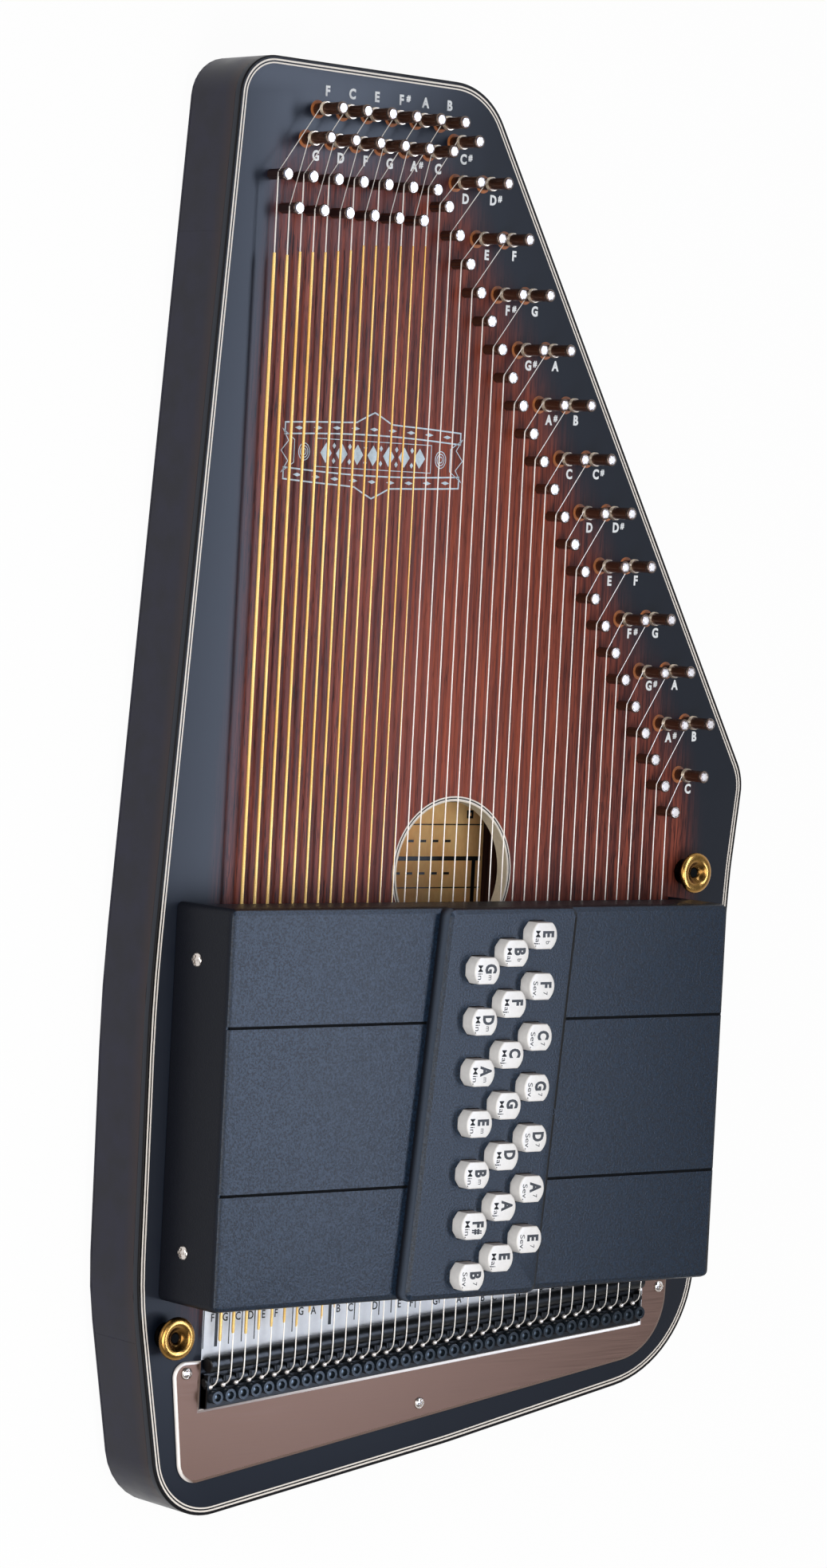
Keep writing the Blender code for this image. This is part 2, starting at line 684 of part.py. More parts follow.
def panel_outline(inset):
    """Slanted centre panel of the cover, or its outline moved inward."""
    left, right = (PANEL_FAR[0], PANEL_NEAR[0]), (PANEL_FAR[1], PANEL_NEAR[1])
    far, near = COVER_FAR - inset, COVER_NEAR + inset
    return [
        (panel_side(left, near) + inset, near), (panel_side(right, near) - inset, near),
        (panel_side(right, far) - inset, far), (panel_side(left, far) + inset, far)]


def cover_shell():
    """Rounded block with the raised panel on it, before it is hollowed."""
    corners = [
        (COVER_LEFT, COVER_NEAR, COVER_CORNER), (COVER_RIGHT, COVER_NEAR, COVER_CORNER),
        (COVER_RIGHT, COVER_FAR, COVER_CORNER), (COVER_LEFT, COVER_FAR, COVER_CORNER)]
    height = COVER_TOP - ON_BOARD
    mesh = flat_mesh("chord_bar_cover", [rounded(corners, 1.0)], height)
    bevel_level(mesh, height / 2, COVER_EDGE, 2)
    cover = add_object("chord_bar_cover", mesh, "slate_plastic", (0, 0, (COVER_TOP + ON_BOARD) / 2))
    base = COVER_TOP - COVER_SKIN / 2
    corners = [(x, y, PANEL_CORNER) for x, y in panel_outline(0.0)]
    raised = flat_mesh("cover_panel", [rounded(corners, 1.0)], PANEL_TOP - base)
    bevel_level(raised, (PANEL_TOP - base) / 2, PANEL_EDGE, 2)
    combine(cover, add_cutter("cover_panel", raised, (0, 0, (PANEL_TOP + base) / 2)), "UNION")
    return cover


def hollow_cover(cover):
    """Room for the bars and buttons, and a passage under the long walls for the strings."""
    left, right = COVER_LEFT + COVER_SIDE_WALL, COVER_RIGHT - COVER_SIDE_WALL
    inner = box_outline(left, right, COVER_NEAR + COVER_SKIN, COVER_FAR - COVER_SKIN)
    passage = box_outline(left, right, COVER_NEAR - CUTTER_MARGIN, COVER_FAR + CUTTER_MARGIN)
    under = ON_BOARD - CUTTER_MARGIN
    ceiling = COVER_TOP - COVER_SKIN
    combine(cover, plate_cutter("cover_hollow", [inner], under, ceiling), "DIFFERENCE")
    combine(cover, plate_cutter("string_passage", [passage], under, STRING_PASSAGE_TOP), "DIFFERENCE")
    pocket = plate_cutter("panel_hollow", [panel_outline(COVER_SKIN)], ceiling - MM, PANEL_TOP - COVER_SKIN)
    combine(cover, pocket, "DIFFERENCE")


def cut_button_holes(cover):
    work = bmesh.new()
    for index in range(len(CHORDS)):
        hole = flat_mesh("hole", [button_outline(BUTTON_CLEARANCE)], HOLE_CUT)
        x, y = chord_place(index)
        hole.transform(Matrix.Translation((x, y, PANEL_TOP)))
        work.from_mesh(hole)
        bpy.data.meshes.remove(hole)
    holes = bpy.data.meshes.new("button_holes")
    work.to_mesh(holes)
    work.free()
    combine(cover, add_cutter("button_holes", holes), "DIFFERENCE")


def cut_grooves(cover):
    """Two lines across each wing of the cover, which stop at the panel."""
    work = bmesh.new()
    for y in GROOVES:
        left_end = panel_side((PANEL_FAR[0], PANEL_NEAR[0]), y) - GROOVE_STOP
        right_end = panel_side((PANEL_FAR[1], PANEL_NEAR[1]), y) + GROOVE_STOP
        for start, end in ((COVER_LEFT - MM, left_end), (right_end, COVER_RIGHT + MM)):
            groove = bmesh.ops.create_cube(work, size=1.0)["verts"]
            bmesh.ops.scale(work, vec=(end - start, GROOVE_WIDTH, 2 * GROOVE_DEPTH), verts=groove)
            bmesh.ops.translate(work, vec=((start + end) / 2, y, COVER_TOP), verts=groove)
    grooves = bpy.data.meshes.new("cover_grooves")
    work.to_mesh(grooves)
    work.free()
    combine(cover, add_cutter("cover_grooves", grooves), "DIFFERENCE")


def make_cover():
    """Moulded cover on two end walls, with a raised, slanted panel that the buttons pass through."""
    cover = cover_shell()
    hollow_cover(cover)
    cut_button_holes(cover)
    cut_grooves(cover)
    return cover


def make_tail_plate():
    outline = rounded(PLATE_CORNERS)
    return plate("tail_plate", [outline], ON_BOARD, ON_BOARD + PLATE_THICKNESS, "satin_nickel")


def make_strap_button(name, place):
    """Turned brass button with a flared head and a countersunk middle."""
    mesh = bpy.data.meshes.new(name)
    points = [(radius * MM, 0.0, height * MM) for radius, height in STRAP_PROFILE]
    mesh.from_pydata(points, [(k, k + 1) for k in range(len(points) - 1)], [])
    button = add_object(name, mesh, "brass", (*place, ON_BOARD))
    screw = button.modifiers.new("turn", "SCREW")
    screw.steps = STRAP_SIDES
    screw.render_steps = STRAP_SIDES
    screw.use_merge_vertices = True
    screw.merge_threshold = 0.01 * MM
    return button


def make_foot(name, place):
    mesh = cylinders(name, [place], FOOT_RADIUS, 0.0, FOOT_HEIGHT - GAP, FOOT_SIDES)
    return add_object(name, mesh, "rubber")


BODY = bpy.data.objects.new("body", None)
PARTS.objects.link(BODY)
plan = rounded(BODY_CORNERS)
BODY.location = (-(min(p.x for p in plan) + max(p.x for p in plan)) / 2,
                 -(min(p.y for p in plan) + max(p.y for p in plan)) / 2, 0.0)

rim = make_rim()
add_pins(rim)
make_soundboard()
make_back()
make_strings()
make_fine_tuners()
for number in range(len(CHORDS)):
    make_bar(number)
    make_button(number)
make_holder("bar_holder_bass", *HOLDER_BASS)
make_holder("bar_holder_treble", *HOLDER_TREBLE)
make_cover()
make_tail_plate()
for strap_name, strap_place in STRAP_PLACES.items():
    make_strap_button(strap_name, strap_place)
for foot_name, foot_place in FOOT_PLACES.items():
    make_foot(foot_name, foot_place)
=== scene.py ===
import math

import bmesh
import bpy
from mathutils import Matrix, Vector


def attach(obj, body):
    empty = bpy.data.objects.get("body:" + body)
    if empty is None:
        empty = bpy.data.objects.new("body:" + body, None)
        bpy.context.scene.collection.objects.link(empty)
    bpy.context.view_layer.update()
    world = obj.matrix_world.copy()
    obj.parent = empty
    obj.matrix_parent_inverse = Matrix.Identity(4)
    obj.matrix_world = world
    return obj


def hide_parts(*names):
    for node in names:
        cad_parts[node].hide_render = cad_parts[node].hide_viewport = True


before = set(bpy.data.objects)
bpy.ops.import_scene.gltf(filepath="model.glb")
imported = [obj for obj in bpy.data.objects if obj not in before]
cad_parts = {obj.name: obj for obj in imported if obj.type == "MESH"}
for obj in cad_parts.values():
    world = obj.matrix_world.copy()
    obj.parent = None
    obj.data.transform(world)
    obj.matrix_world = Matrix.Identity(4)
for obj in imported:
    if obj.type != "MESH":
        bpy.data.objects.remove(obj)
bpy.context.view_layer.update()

MM = 0.001

# The instrument is drawn in its own plan, and this moves the plan to the row frame
PLAN = Vector((-0.0062356, -0.0399692, 0.0))

# Heights, mm
BACK_TOP = 6.5
RIM_UNDER = 6.8
RIM_TOP = 34.7
BOARD_UNDER = 35.0
BOARD_TOP = 38.0
STRINGS_Z = 45.0
COVER_TOP = 74.0
PANEL_TOP = 80.0
BUTTON_TOP = 86.0
BAR_TOP = 68.0

# Body outline: corners (x, y, radius), mm
BODY_CORNERS = (
    (-124.4, 329.5, 17), (0.6, 327.3, 30), (161.3, 47.5, 22), (157.0, 8.0, 120),
    (145.5, -204.5, 52), (14.0, -229.7, 400), (-131.2, -253.2, 27), (-147.6, -160.0, 160),
    (-148.3, -40.0, 700),
)
HOLE_CENTRE = (1.6, 7.0)
HOLE_RADIUS = 29.5

# Strings
NOTES = ("F G C D E F F# G A A# B C C# D D# E F F# G G# A A# B C "
         "C# D D# E F F# G G# A A# B C").split()
STRINGS = len(NOTES)
WOUND = 13
PITCH = 6.35
PITCH_GROWTH = 0.00013
TAIL_SLOPE = 0.092
TAIL_HALF = 114.2
RAIL_FAR = -181.4
RAIL_NEAR = -195.3
RAIL_TOP = 41.7
ROD_LINE = -177.6
ROD_RADIUS = 3.3
CHART_EDGE = -176.0
CLAW_LINE = -184.8
PIVOT_RADIUS = 2.0
PIVOT_Z = 40.6
TUNER_LINE = -190.4
TUNER_TOP = 46.0

CHORDS = ("Eb", "Bb", "Gm", "F7", "F", "Dm", "C7", "C", "Am", "G7", "G", "Em",
          "D7", "D", "Bm", "A7", "A", "F#m", "E7", "E", "B7")
BAR_PITCH = 6.86
FIRST_BAR_Y = -14.6
BUTTON_COLUMNS = (12.4, -2.2, -16.9)
BUTTON_RADIUS = 6.6
BUTTON_DEPTH = 10.8
BUTTON_UNDER = 71.8

# Strap buttons
STRAPS = {"strap_button_lower": (-133.0, -175.6), "strap_button_upper": (129.2, 7.0)}


# Shapes


def finish_mesh(work, name, finish, smooth=40.0):
    """Object from a bmesh drawn in plan millimetres, smooth except at edges sharper than the angle."""
    bmesh.ops.recalc_face_normals(work, faces=work.faces)
    bmesh.ops.scale(work, vec=(MM, MM, MM), verts=work.verts)
    bmesh.ops.translate(work, vec=PLAN, verts=work.verts)
    limit = math.radians(smooth)
    for face in work.faces:
        face.smooth = True
    for edge in work.edges:
        edge.smooth = len(edge.link_faces) == 2 and edge.calc_face_angle() < limit
    mesh = bpy.data.meshes.new(name)
    work.to_mesh(mesh)
    work.free()
    mesh.materials.append(finish)
    piece = bpy.data.objects.new(name, mesh)
    bpy.context.scene.collection.objects.link(piece)
    return piece


def rounded(corners, step=5.0):
    """Outline through corners (x, y, radius), each rounded by an arc of its radius."""
    points = []
    count = len(corners)
    for index, (x, y, radius) in enumerate(corners):
        corner = Vector((x, y))
        before = (Vector(corners[index - 1][:2]) - corner).normalized()
        after = (Vector(corners[(index + 1) % count][:2]) - corner).normalized()
        if radius == 0:
            points.append(corner)
            continue
        half = before.angle(after) / 2
        centre = corner + (before + after).normalized() * (radius / math.sin(half))
        first = corner + before * (radius / math.tan(half)) - centre
        last = corner + after * (radius / math.tan(half)) - centre
        sweep = first.angle_signed(last)
        steps = max(3, math.ceil(abs(sweep) / math.radians(step)))
        for k in range(steps + 1):
            points.append(centre + Matrix.Rotation(-sweep * k / steps, 2) @ first)
    return points


def inset(points, distance):
    """Outline moved inward by a distance, corner by corner."""
    count = len(points)
    area = sum(points[k - 1].x * points[k].y - points[k].x * points[k - 1].y for k in range(count))
    side = 1.0 if area > 0 else -1.0
    moved = []
    for k, point in enumerate(points):
        one = (point - points[k - 1]).normalized()
        two = (points[(k + 1) % count] - point).normalized()
        normal = (Vector((-one.y, one.x)) + Vector((-two.y, two.x))).normalized() * side
        spread = max(0.3, abs(normal.dot(Vector((-one.y, one.x)))))
        moved.append(point + normal * distance / spread)
    return moved


def loft(work, rings, closed=True):
    """Faces between rings of points that have the same number of corners."""
    made = [[work.verts.new(point) for point in ring] for ring in rings]
    count = len(made[0])
    for low, high in zip(made, made[1:]):
        for k in range(count if closed else count - 1):
            after = (k + 1) % count
            work.faces.new((low[k], low[after], high[after], high[k]))
    return made


def level(points, z):
    return [(p[0], p[1], z) for p in points]


def circle(centre, radius, sides, turn=0.0):
    return [Vector((centre[0] + radius * math.cos(math.tau * k / sides + turn),
                    centre[1] + radius * math.sin(math.tau * k / sides + turn))) for k in range(sides)]


def cap(work, ring):
    work.faces.new(ring)


def fill_between(work, *loops):
    """Flat face bounded by loops of vertices, the later ones its holes."""
    edges = []
    for loop in loops:
        for k, vert in enumerate(loop):
            after = loop[(k + 1) % len(loop)]
            edges.append(work.edges.get((vert, after)) or work.edges.new((vert, after)))
    bmesh.ops.triangle_fill(work, edges=edges, use_beauty=True)


def turned(work, centre, profile, sides, turn=0.0):
    """Solid of revolution on an upright axis, its profile (radius, height) closed at both ends."""
    rings = [level(circle(centre, max(radius, 0.001), sides, turn), z) for radius, z in profile]
    made = loft(work, rings)
    cap(work, made[0])
    cap(work, made[-1])


def strip(work, outline, inner, outer, low, high):
    """Closed band that follows an outline between two insets."""
    a, b = inset(outline, outer), inset(outline, inner)
    close_band(work, loft(work, [level(a, low), level(a, high), level(b, high), level(b, low)]))


def close_band(work, made):
    """Faces from the last ring back to the first."""
    count = len(made[0])
    for k in range(count):
        after = (k + 1) % count
        work.faces.new((made[-1][k], made[-1][after], made[0][after], made[0][k]))


def box(work, x0, x1, y0, y1, z0, z1):
    made = loft(work, [level([(x0, y0), (x1, y0), (x1, y1), (x0, y1)], z) for z in (z0, z1)])
    cap(work, made[0])
    cap(work, made[1])


def tube(work, path, radii, sides):
    """Round bar along a path of 3-D points, with a radius at each point."""
    points = [Vector(p) for p in path]
    count = len(points)
    up = Vector((0, 0, 1))
    rings = []
    for k, point in enumerate(points):
        ahead = (points[min(k + 1, count - 1)] - points[max(k - 1, 0)]).normalized()
        across = ahead.cross(up)
        if across.length < 0.05:
            across = ahead.cross(Vector((1, 0, 0)))
        across.normalize()
        other = across.cross(ahead).normalized()
        radius = radii[k] if isinstance(radii, (list, tuple)) else radii
        rings.append([point + (across * math.cos(a) + other * math.sin(a)) * radius
                      for a in (math.tau * n / sides for n in range(sides))])
    made = loft(work, rings)
    cap(work, made[0])
    cap(work, made[-1])


def lettering(name, words, finish, body, thickness=0.12, weight=0.012):
    """Flat raised letters. Each word is (text, x, y, z, size, turn, width factor), placed by its middle."""
    mesh = bpy.data.meshes.new(name)
    work = bmesh.new()
    for text, x, y, z, size, turn, wide in words:
        curve = bpy.data.curves.new("word", "FONT")
        curve.body = text
        curve.size = size * MM
        curve.align_x = "CENTER"
        curve.align_y = "CENTER"
        curve.extrude = thickness * MM / 2
        curve.resolution_u = 3
        curve.offset = weight * size * MM
        guide = bpy.data.objects.new("word", curve)
        bpy.context.scene.collection.objects.link(guide)
        bpy.context.view_layer.update()
        shape = bpy.data.meshes.new_from_object(guide.evaluated_get(bpy.context.evaluated_depsgraph_get()))
        shape.transform(Matrix.Translation(PLAN + Vector((x, y, z)) * MM)
                        @ Matrix.Rotation(turn, 4, "Z") @ Matrix.Diagonal((wide, 1.0, 1.0, 1.0)))
        work.from_mesh(shape)
        bpy.data.objects.remove(guide)
        bpy.data.meshes.remove(shape)
        bpy.data.curves.remove(curve)
    work.to_mesh(mesh)
    work.free()
    mesh.materials.append(finish)
    piece = bpy.data.objects.new(name, mesh)
    bpy.context.scene.collection.objects.link(piece)
    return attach(piece, body)


# Materials


def linear(red, green, blue):
    """Screen colour 0 to 255 as the shader's linear colour."""
    return tuple((c / 255 / 12.92) if c <= 10 else ((c / 255 + 0.055) / 1.055) ** 2.4 for c in (red, green, blue))


class Finish:
    """Builder of one node material."""

    def __init__(self, name, roughness=0.5, metallic=0.0, specular=0.5, coat=0.0, coat_roughness=0.1):
        self.material = bpy.data.materials.new(name)
        self.material.use_nodes = True
        self.tree = self.material.node_tree
        self.shader = self.tree.nodes["Principled BSDF"]
        self.shader.inputs["Roughness"].default_value = roughness
        self.shader.inputs["Metallic"].default_value = metallic
        self.shader.inputs["Specular IOR Level"].default_value = specular
        self.shader.inputs["Coat Weight"].default_value = coat
        self.shader.inputs["Coat Roughness"].default_value = coat_roughness
        self.place = self.node("ShaderNodeTexCoord").outputs["Object"]

    def node(self, kind, **values):
        made = self.tree.nodes.new(kind)
        for key, value in values.items():
            setattr(made, key, value)
        return made

    def wire(self, source, target):
        if hasattr(source, "links"):
            self.tree.links.new(source, target)
        else:
            target.default_value = source

    def colour(self, value):
        self.wire(value if hasattr(value, "links") else (*value, 1.0), self.shader.inputs["Base Color"])

    def roughness(self, value):
        self.wire(value, self.shader.inputs["Roughness"])

    def scaled(self, scale):
        """Object coordinates stretched by a factor on each axis."""
        made = self.node("ShaderNodeVectorMath", operation="MULTIPLY")
        self.wire(self.place, made.inputs[0])
        made.inputs[1].default_value = scale
        return made.outputs[0]

    def noise(self, scale, detail=3.0, rough=0.55, distortion=0.0):
        made = self.node("ShaderNodeTexNoise")
        self.wire(self.scaled(scale), made.inputs["Vector"])
        made.inputs["Scale"].default_value = 1.0
        made.inputs["Detail"].default_value = detail
        made.inputs["Roughness"].default_value = rough
        made.inputs["Distortion"].default_value = distortion
        return made.outputs["Fac"]

    def remap(self, value, low, high, out_low=0.0, out_high=1.0, kind="LINEAR"):
        made = self.node("ShaderNodeMapRange", interpolation_type=kind)
        self.wire(value, made.inputs["Value"])
        for key, number in (("From Min", low), ("From Max", high), ("To Min", out_low), ("To Max", out_high)):
            made.inputs[key].default_value = number
        return made.outputs["Result"]

    def mix(self, factor, one, two, kind="MIX"):
        made = self.node("ShaderNodeMix", data_type="RGBA", blend_type=kind)
        self.wire(factor, made.inputs[0])
        self.wire(one if hasattr(one, "links") else (*one, 1.0), made.inputs[6])
        self.wire(two if hasattr(two, "links") else (*two, 1.0), made.inputs[7])
        return made.outputs[2]

    def maths(self, operation, one, two=0.0):
        made = self.node("ShaderNodeMath", operation=operation)
        self.wire(one, made.inputs[0])
        self.wire(two, made.inputs[1])
        return made.outputs[0]

    def axis(self, letter):
        made = self.node("ShaderNodeSeparateXYZ")
        self.wire(self.place, made.inputs[0])
        return made.outputs[letter]

    def bump(self, height, distance, strength=1.0):
        made = self.node("ShaderNodeBump")
        made.inputs["Strength"].default_value = strength
        made.inputs["Distance"].default_value = distance * MM
        self.wire(height, made.inputs["Height"])
        self.wire(made.outputs[0], self.shader.inputs["Normal"])


def speckled(name, colour, roughness, metallic=0.0, grain=400.0, amount=0.12, bump=0.0, **more):
    """Plain finish with a fine unevenness in its colour, gloss and surface."""
    finish = Finish(name, roughness, metallic, **more)
    noise = finish.noise((grain, grain, grain), 4.0)
    dark = tuple(c * (1 - amount) for c in colour)
    light = tuple(min(1.0, c * (1 + amount)) for c in colour)
    finish.colour(finish.mix(finish.remap(noise, 0.3, 0.7), dark, light))
    finish.roughness(finish.remap(noise, 0.3, 0.7, roughness * 0.88, min(1.0, roughness * 1.12)))
    if bump:
        finish.bump(noise, bump)
    return finish.material


LACQUER = linear(16, 23, 36)


def border_mask(finish):
    """0 at the body's edge and 1 over the open wood: the sunburst's fade from each side."""
    fades = (
        ((-148.0, 40.0), (1.0, -0.035), 24.0, 46.0),
        ((0.0, 329.0), (0.0, -1.0), 24.0, 58.0),
        ((80.9, 187.4), (-0.867, -0.498), 16.0, 50.0),
        ((158.0, 10.0), (-1.0, 0.03), 15.0, 38.0),
        ((0.0, -232.0), (0.0, 1.0), 44.0, 90.0),
    )
    wander = finish.maths("MULTIPLY", finish.maths("SUBTRACT", finish.noise((28, 9, 9), 2.0), 0.5), 0.012)
    mask = None
    for (x, y), (nx, ny), start, end in fades:
        dot = finish.node("ShaderNodeVectorMath", operation="DOT_PRODUCT")
        finish.wire(finish.place, dot.inputs[0])
        dot.inputs[1].default_value = (nx, ny, 0.0)
        edge = (x * MM + PLAN.x) * nx + (y * MM + PLAN.y) * ny
        near = finish.maths("ADD", dot.outputs["Value"], wander)
        part = finish.remap(near, edge + start * MM, edge + end * MM, kind="SMOOTHERSTEP")
        mask = part if mask is None else finish.maths("MULTIPLY", mask, part)
    return mask


def sunburst():
    """Open-grained mahogany under a thin finish, shaded to black toward the edges."""
    finish = Finish("sunburst_mahogany", roughness=0.4, specular=0.28)
    streak = finish.noise((700, 16, 60), 4.0, 0.62, 0.4)
    pores = finish.noise((2100, 90, 100), 2.0, 0.6)
    broad = finish.noise((60, 5, 10), 2.0)
    base = finish.mix(finish.remap(streak, 0.36, 0.64), linear(76, 35, 31), linear(156, 79, 60))
    base = finish.mix(finish.remap(broad, 0.32, 0.68, 0.0, 0.5), base, linear(90, 42, 36))
    base = finish.mix(finish.remap(pores, 0.55, 0.62, 0.0, 0.85), base, linear(30, 14, 16))
    glow = finish.maths("MULTIPLY", middle_mask(finish), finish.remap(streak, 0.4, 0.6, 0.3, 1.0))
    base = finish.mix(finish.maths("MULTIPLY", glow, 0.5), base, linear(170, 76, 38))
    mask = border_mask(finish)
    finish.colour(finish.mix(mask, LACQUER, base))
    finish.roughness(finish.remap(mask, 0.0, 1.0, 0.36, 0.42))
    finish.wire(finish.remap(mask, 0.0, 1.0, 0.30, 0.13), finish.shader.inputs["Specular IOR Level"])
    finish.bump(finish.maths("MULTIPLY", pores, mask), 0.05, 0.3)
    return finish.material


def middle_mask(finish):
    """1 in the middle of the board, where the wood is palest, and 0 some way from it."""
    away = finish.node("ShaderNodeVectorMath", operation="DISTANCE")
    finish.wire(finish.scaled((1.6, 0.8, 0.0)), away.inputs[0])
    away.inputs[1].default_value = ((5.0 * MM + PLAN.x) * 1.6, (95.0 * MM + PLAN.y) * 0.8, 0.0)
    return finish.remap(away.outputs["Value"], 0.02, 0.16, 1.0, 0.0, kind="SMOOTHERSTEP")


def lacquer():
    finish = Finish("black_lacquer", roughness=0.34, specular=0.22)
    noise = finish.noise((90, 90, 90), 3.0)
    plain = finish.mix(finish.remap(noise, 0.35, 0.65), linear(20, 20, 34), linear(28, 28, 46))
    height = finish.axis("Z")
    # Painted reflection: a warm reddish band along the top of the side walls, just under the board's edge.
    painted_reflection = finish.remap(height, 0.028, 0.0362)
    finish.colour(finish.mix(painted_reflection, plain, linear(46, 32, 32)))
    finish.roughness(finish.remap(noise, 0.3, 0.7, 0.30, 0.40))
    finish.bump(finish.noise((900, 900, 900), 2.0), 0.01, 0.5)
    return finish.material


def moulded_plastic():
    """Textured slate plastic: fine leather-like pebbles, with painted shade on its upright walls, near-black painted
    shade on the raised panel's treble-facing walls, and a painted highlight toward the top of the bass-facing walls;
    duller on the walls.
    """
    finish = Finish("slate_plastic", roughness=0.4, specular=0.26)
    pebble = finish.noise((1250, 1250, 1250), 2.0, 0.6)
    cloud = finish.noise((30, 30, 30), 2.0)
    colour = finish.mix(finish.remap(pebble, 0.38, 0.62), linear(4, 13, 26), linear(24, 41, 60))
    colour = finish.mix(finish.remap(cloud, 0.3, 0.7, 0.0, 0.12), colour, linear(14, 27, 42))
    facing = finish.node("ShaderNodeSeparateXYZ")
    finish.wire(finish.node("ShaderNodeNewGeometry").outputs["Normal"], facing.inputs[0])
    # Painted shade: upright and treble-facing walls take a darker colour in place of less light.
    upright = finish.remap(facing.outputs["Z"], 0.60, 0.15, kind="SMOOTHSTEP")
    treble = finish.remap(facing.outputs["X"], 0.15, 0.40, kind="SMOOTHSTEP")
    raised = finish.remap(finish.axis("Z"), 0.0735, 0.0745)
    painted_shade_walls = finish.maths("MAXIMUM", upright, treble)
    height = finish.axis("Z")
    bass = finish.remap(facing.outputs["X"], -0.15, -0.40, kind="SMOOTHSTEP")
    # Painted highlight: the bass-facing walls lighten from dark at their foot toward the top edge.
    painted_wall_highlight = finish.maths("MULTIPLY", finish.remap(height, 0.0745, 0.0790, kind="SMOOTHSTEP"), bass)
    painted_wall_tone = finish.mix(painted_wall_highlight, linear(26, 28, 35), linear(84, 93, 107))
    shade = finish.mix(painted_shade_walls, colour, painted_wall_tone)
    # Painted shade: near-black on the raised panel's treble-facing walls.
    finish.colour(finish.mix(finish.maths("MULTIPLY", treble, raised), shade, linear(9, 10, 13)))
    finish.wire(finish.remap(painted_shade_walls, 0.0, 1.0, 0.26, 0.08), finish.shader.inputs["Specular IOR Level"])
    finish.roughness(finish.remap(pebble, 0.3, 0.7, 0.44, 0.32))
    finish.bump(pebble, 0.16, 0.8)
    return finish.material


def maple():
    finish = Finish("maple", roughness=0.5)
    streak = finish.noise((300, 15, 300), 3.0)
    finish.colour(finish.mix(finish.remap(streak, 0.35, 0.65), linear(150, 108, 66), linear(196, 152, 100)))
    finish.bump(streak, 0.05, 0.4)
    return finish.material


def wound_wire():
    """Bright bronze winding: a line across the wire for every few turns."""
    finish = Finish("bronze_winding", roughness=0.42, metallic=0.55, specular=0.5)
    turns = finish.node("ShaderNodeTexWave", wave_type="BANDS", bands_direction="Y")
    finish.wire(finish.scaled((1.0, 1.0, 1.0)), turns.inputs["Vector"])
    turns.inputs["Scale"].default_value = 700.0
    tarnish = finish.noise((40, 14, 40), 3.0)
    bright = finish.mix(finish.remap(tarnish, 0.35, 0.65), linear(232, 180, 92), linear(252, 216, 140))
    finish.colour(finish.mix(finish.remap(turns.outputs["Fac"], 0.0, 0.3, 0.3, 0.0), bright, linear(150, 98, 40)))
    finish.bump(turns.outputs["Fac"], 0.05, 0.5)
    return finish.material


def turned_brass():
    """Lathe-turned brass of the strap buttons, with painted reflection and shade: bright on the crown, painted dark
    in the bowl and at the rim, near-black in the screw's recess and on the neck.
    """
    finish = Finish("polished_brass", roughness=0.2, metallic=1.0)
    bright, dark, recess_shade = linear(164, 124, 66), linear(104, 74, 36), linear(46, 30, 15)
    ring = None
    for x, y in STRAPS.values():
        away = finish.node("ShaderNodeVectorMath", operation="DISTANCE")
        finish.wire(finish.scaled((1.0, 1.0, 0.0)), away.inputs[0])
        away.inputs[1].default_value = (x * MM + PLAN.x, y * MM + PLAN.y, 0.0)
        ring = away.outputs["Value"] if ring is None else finish.maths("MINIMUM", ring, away.outputs["Value"])
    # Painted reflection and shade: the bowl and the outer rim take the darker brass colour, the crown the bright one.
    bowl = finish.remap(ring, 3.8 * MM, 6.0 * MM, kind="SMOOTHSTEP")
    rim = finish.remap(ring, 7.9 * MM, 8.7 * MM, 1.0, 0.0, kind="SMOOTHSTEP")
    colour = finish.mix(finish.maths("MULTIPLY", bowl, rim), dark, bright)
    # Painted shade: near-black in the screw's recess.
    colour = finish.mix(finish.remap(ring, 2.0 * MM, 2.8 * MM), recess_shade, colour)
    # Painted shade: the neck under the disc is near-black.
    neck = finish.remap(finish.axis("Z"), 0.0440, 0.0450)
    finish.colour(finish.mix(neck, linear(20, 16, 14), colour))
    lines = finish.noise((900, 900, 900), 3.0)
    finish.roughness(finish.remap(lines, 0.3, 0.7, 0.22, 0.30))
    finish.bump(lines, 0.005, 0.3)
    return finish.material


def brushed(name, colour, roughness, along="X", amount=0.10):
    """Metal with fine lines along one axis."""
    finish = Finish(name, roughness, 1.0)
    scale = (35, 2600, 400) if along == "X" else (2600, 35, 400)
    lines = finish.noise(scale, 3.0)
    dark = tuple(c * (1 - amount) for c in colour)
    light = tuple(min(1.0, c * (1 + amount)) for c in colour)
    finish.colour(finish.mix(finish.remap(lines, 0.3, 0.7), dark, light))
    finish.roughness(finish.remap(lines, 0.3, 0.7, roughness * 0.85, roughness * 1.15))
    finish.bump(lines, 0.02, 0.4)
    return finish.material


def plate_edge():
    """Bevelled edge of the tail plate, with a painted highlight where it faces the strings or the bass side."""
    finish = Finish("nickel_edge_painted_highlight", roughness=0.35, metallic=0.1)
    facing = finish.node("ShaderNodeSeparateXYZ")
    finish.wire(finish.node("ShaderNodeNewGeometry").outputs["Normal"], facing.inputs[0])
    far = finish.remap(finish.maths("SUBTRACT", facing.outputs["Y"], facing.outputs["X"]), 0.0, 0.1)
    bass = finish.remap(facing.outputs["X"], -0.05, -0.3)
    polish = finish.noise((300, 300, 300), 3.0)
    bright = finish.mix(polish, linear(240, 232, 226), linear(255, 250, 246))
    # Painted highlight: the plate's own colour turns near-white on the faces toward the strings and the bass side.
    finish.colour(finish.mix(finish.maths("MAXIMUM", far, bass), linear(112, 88, 76), bright))
    return finish.material


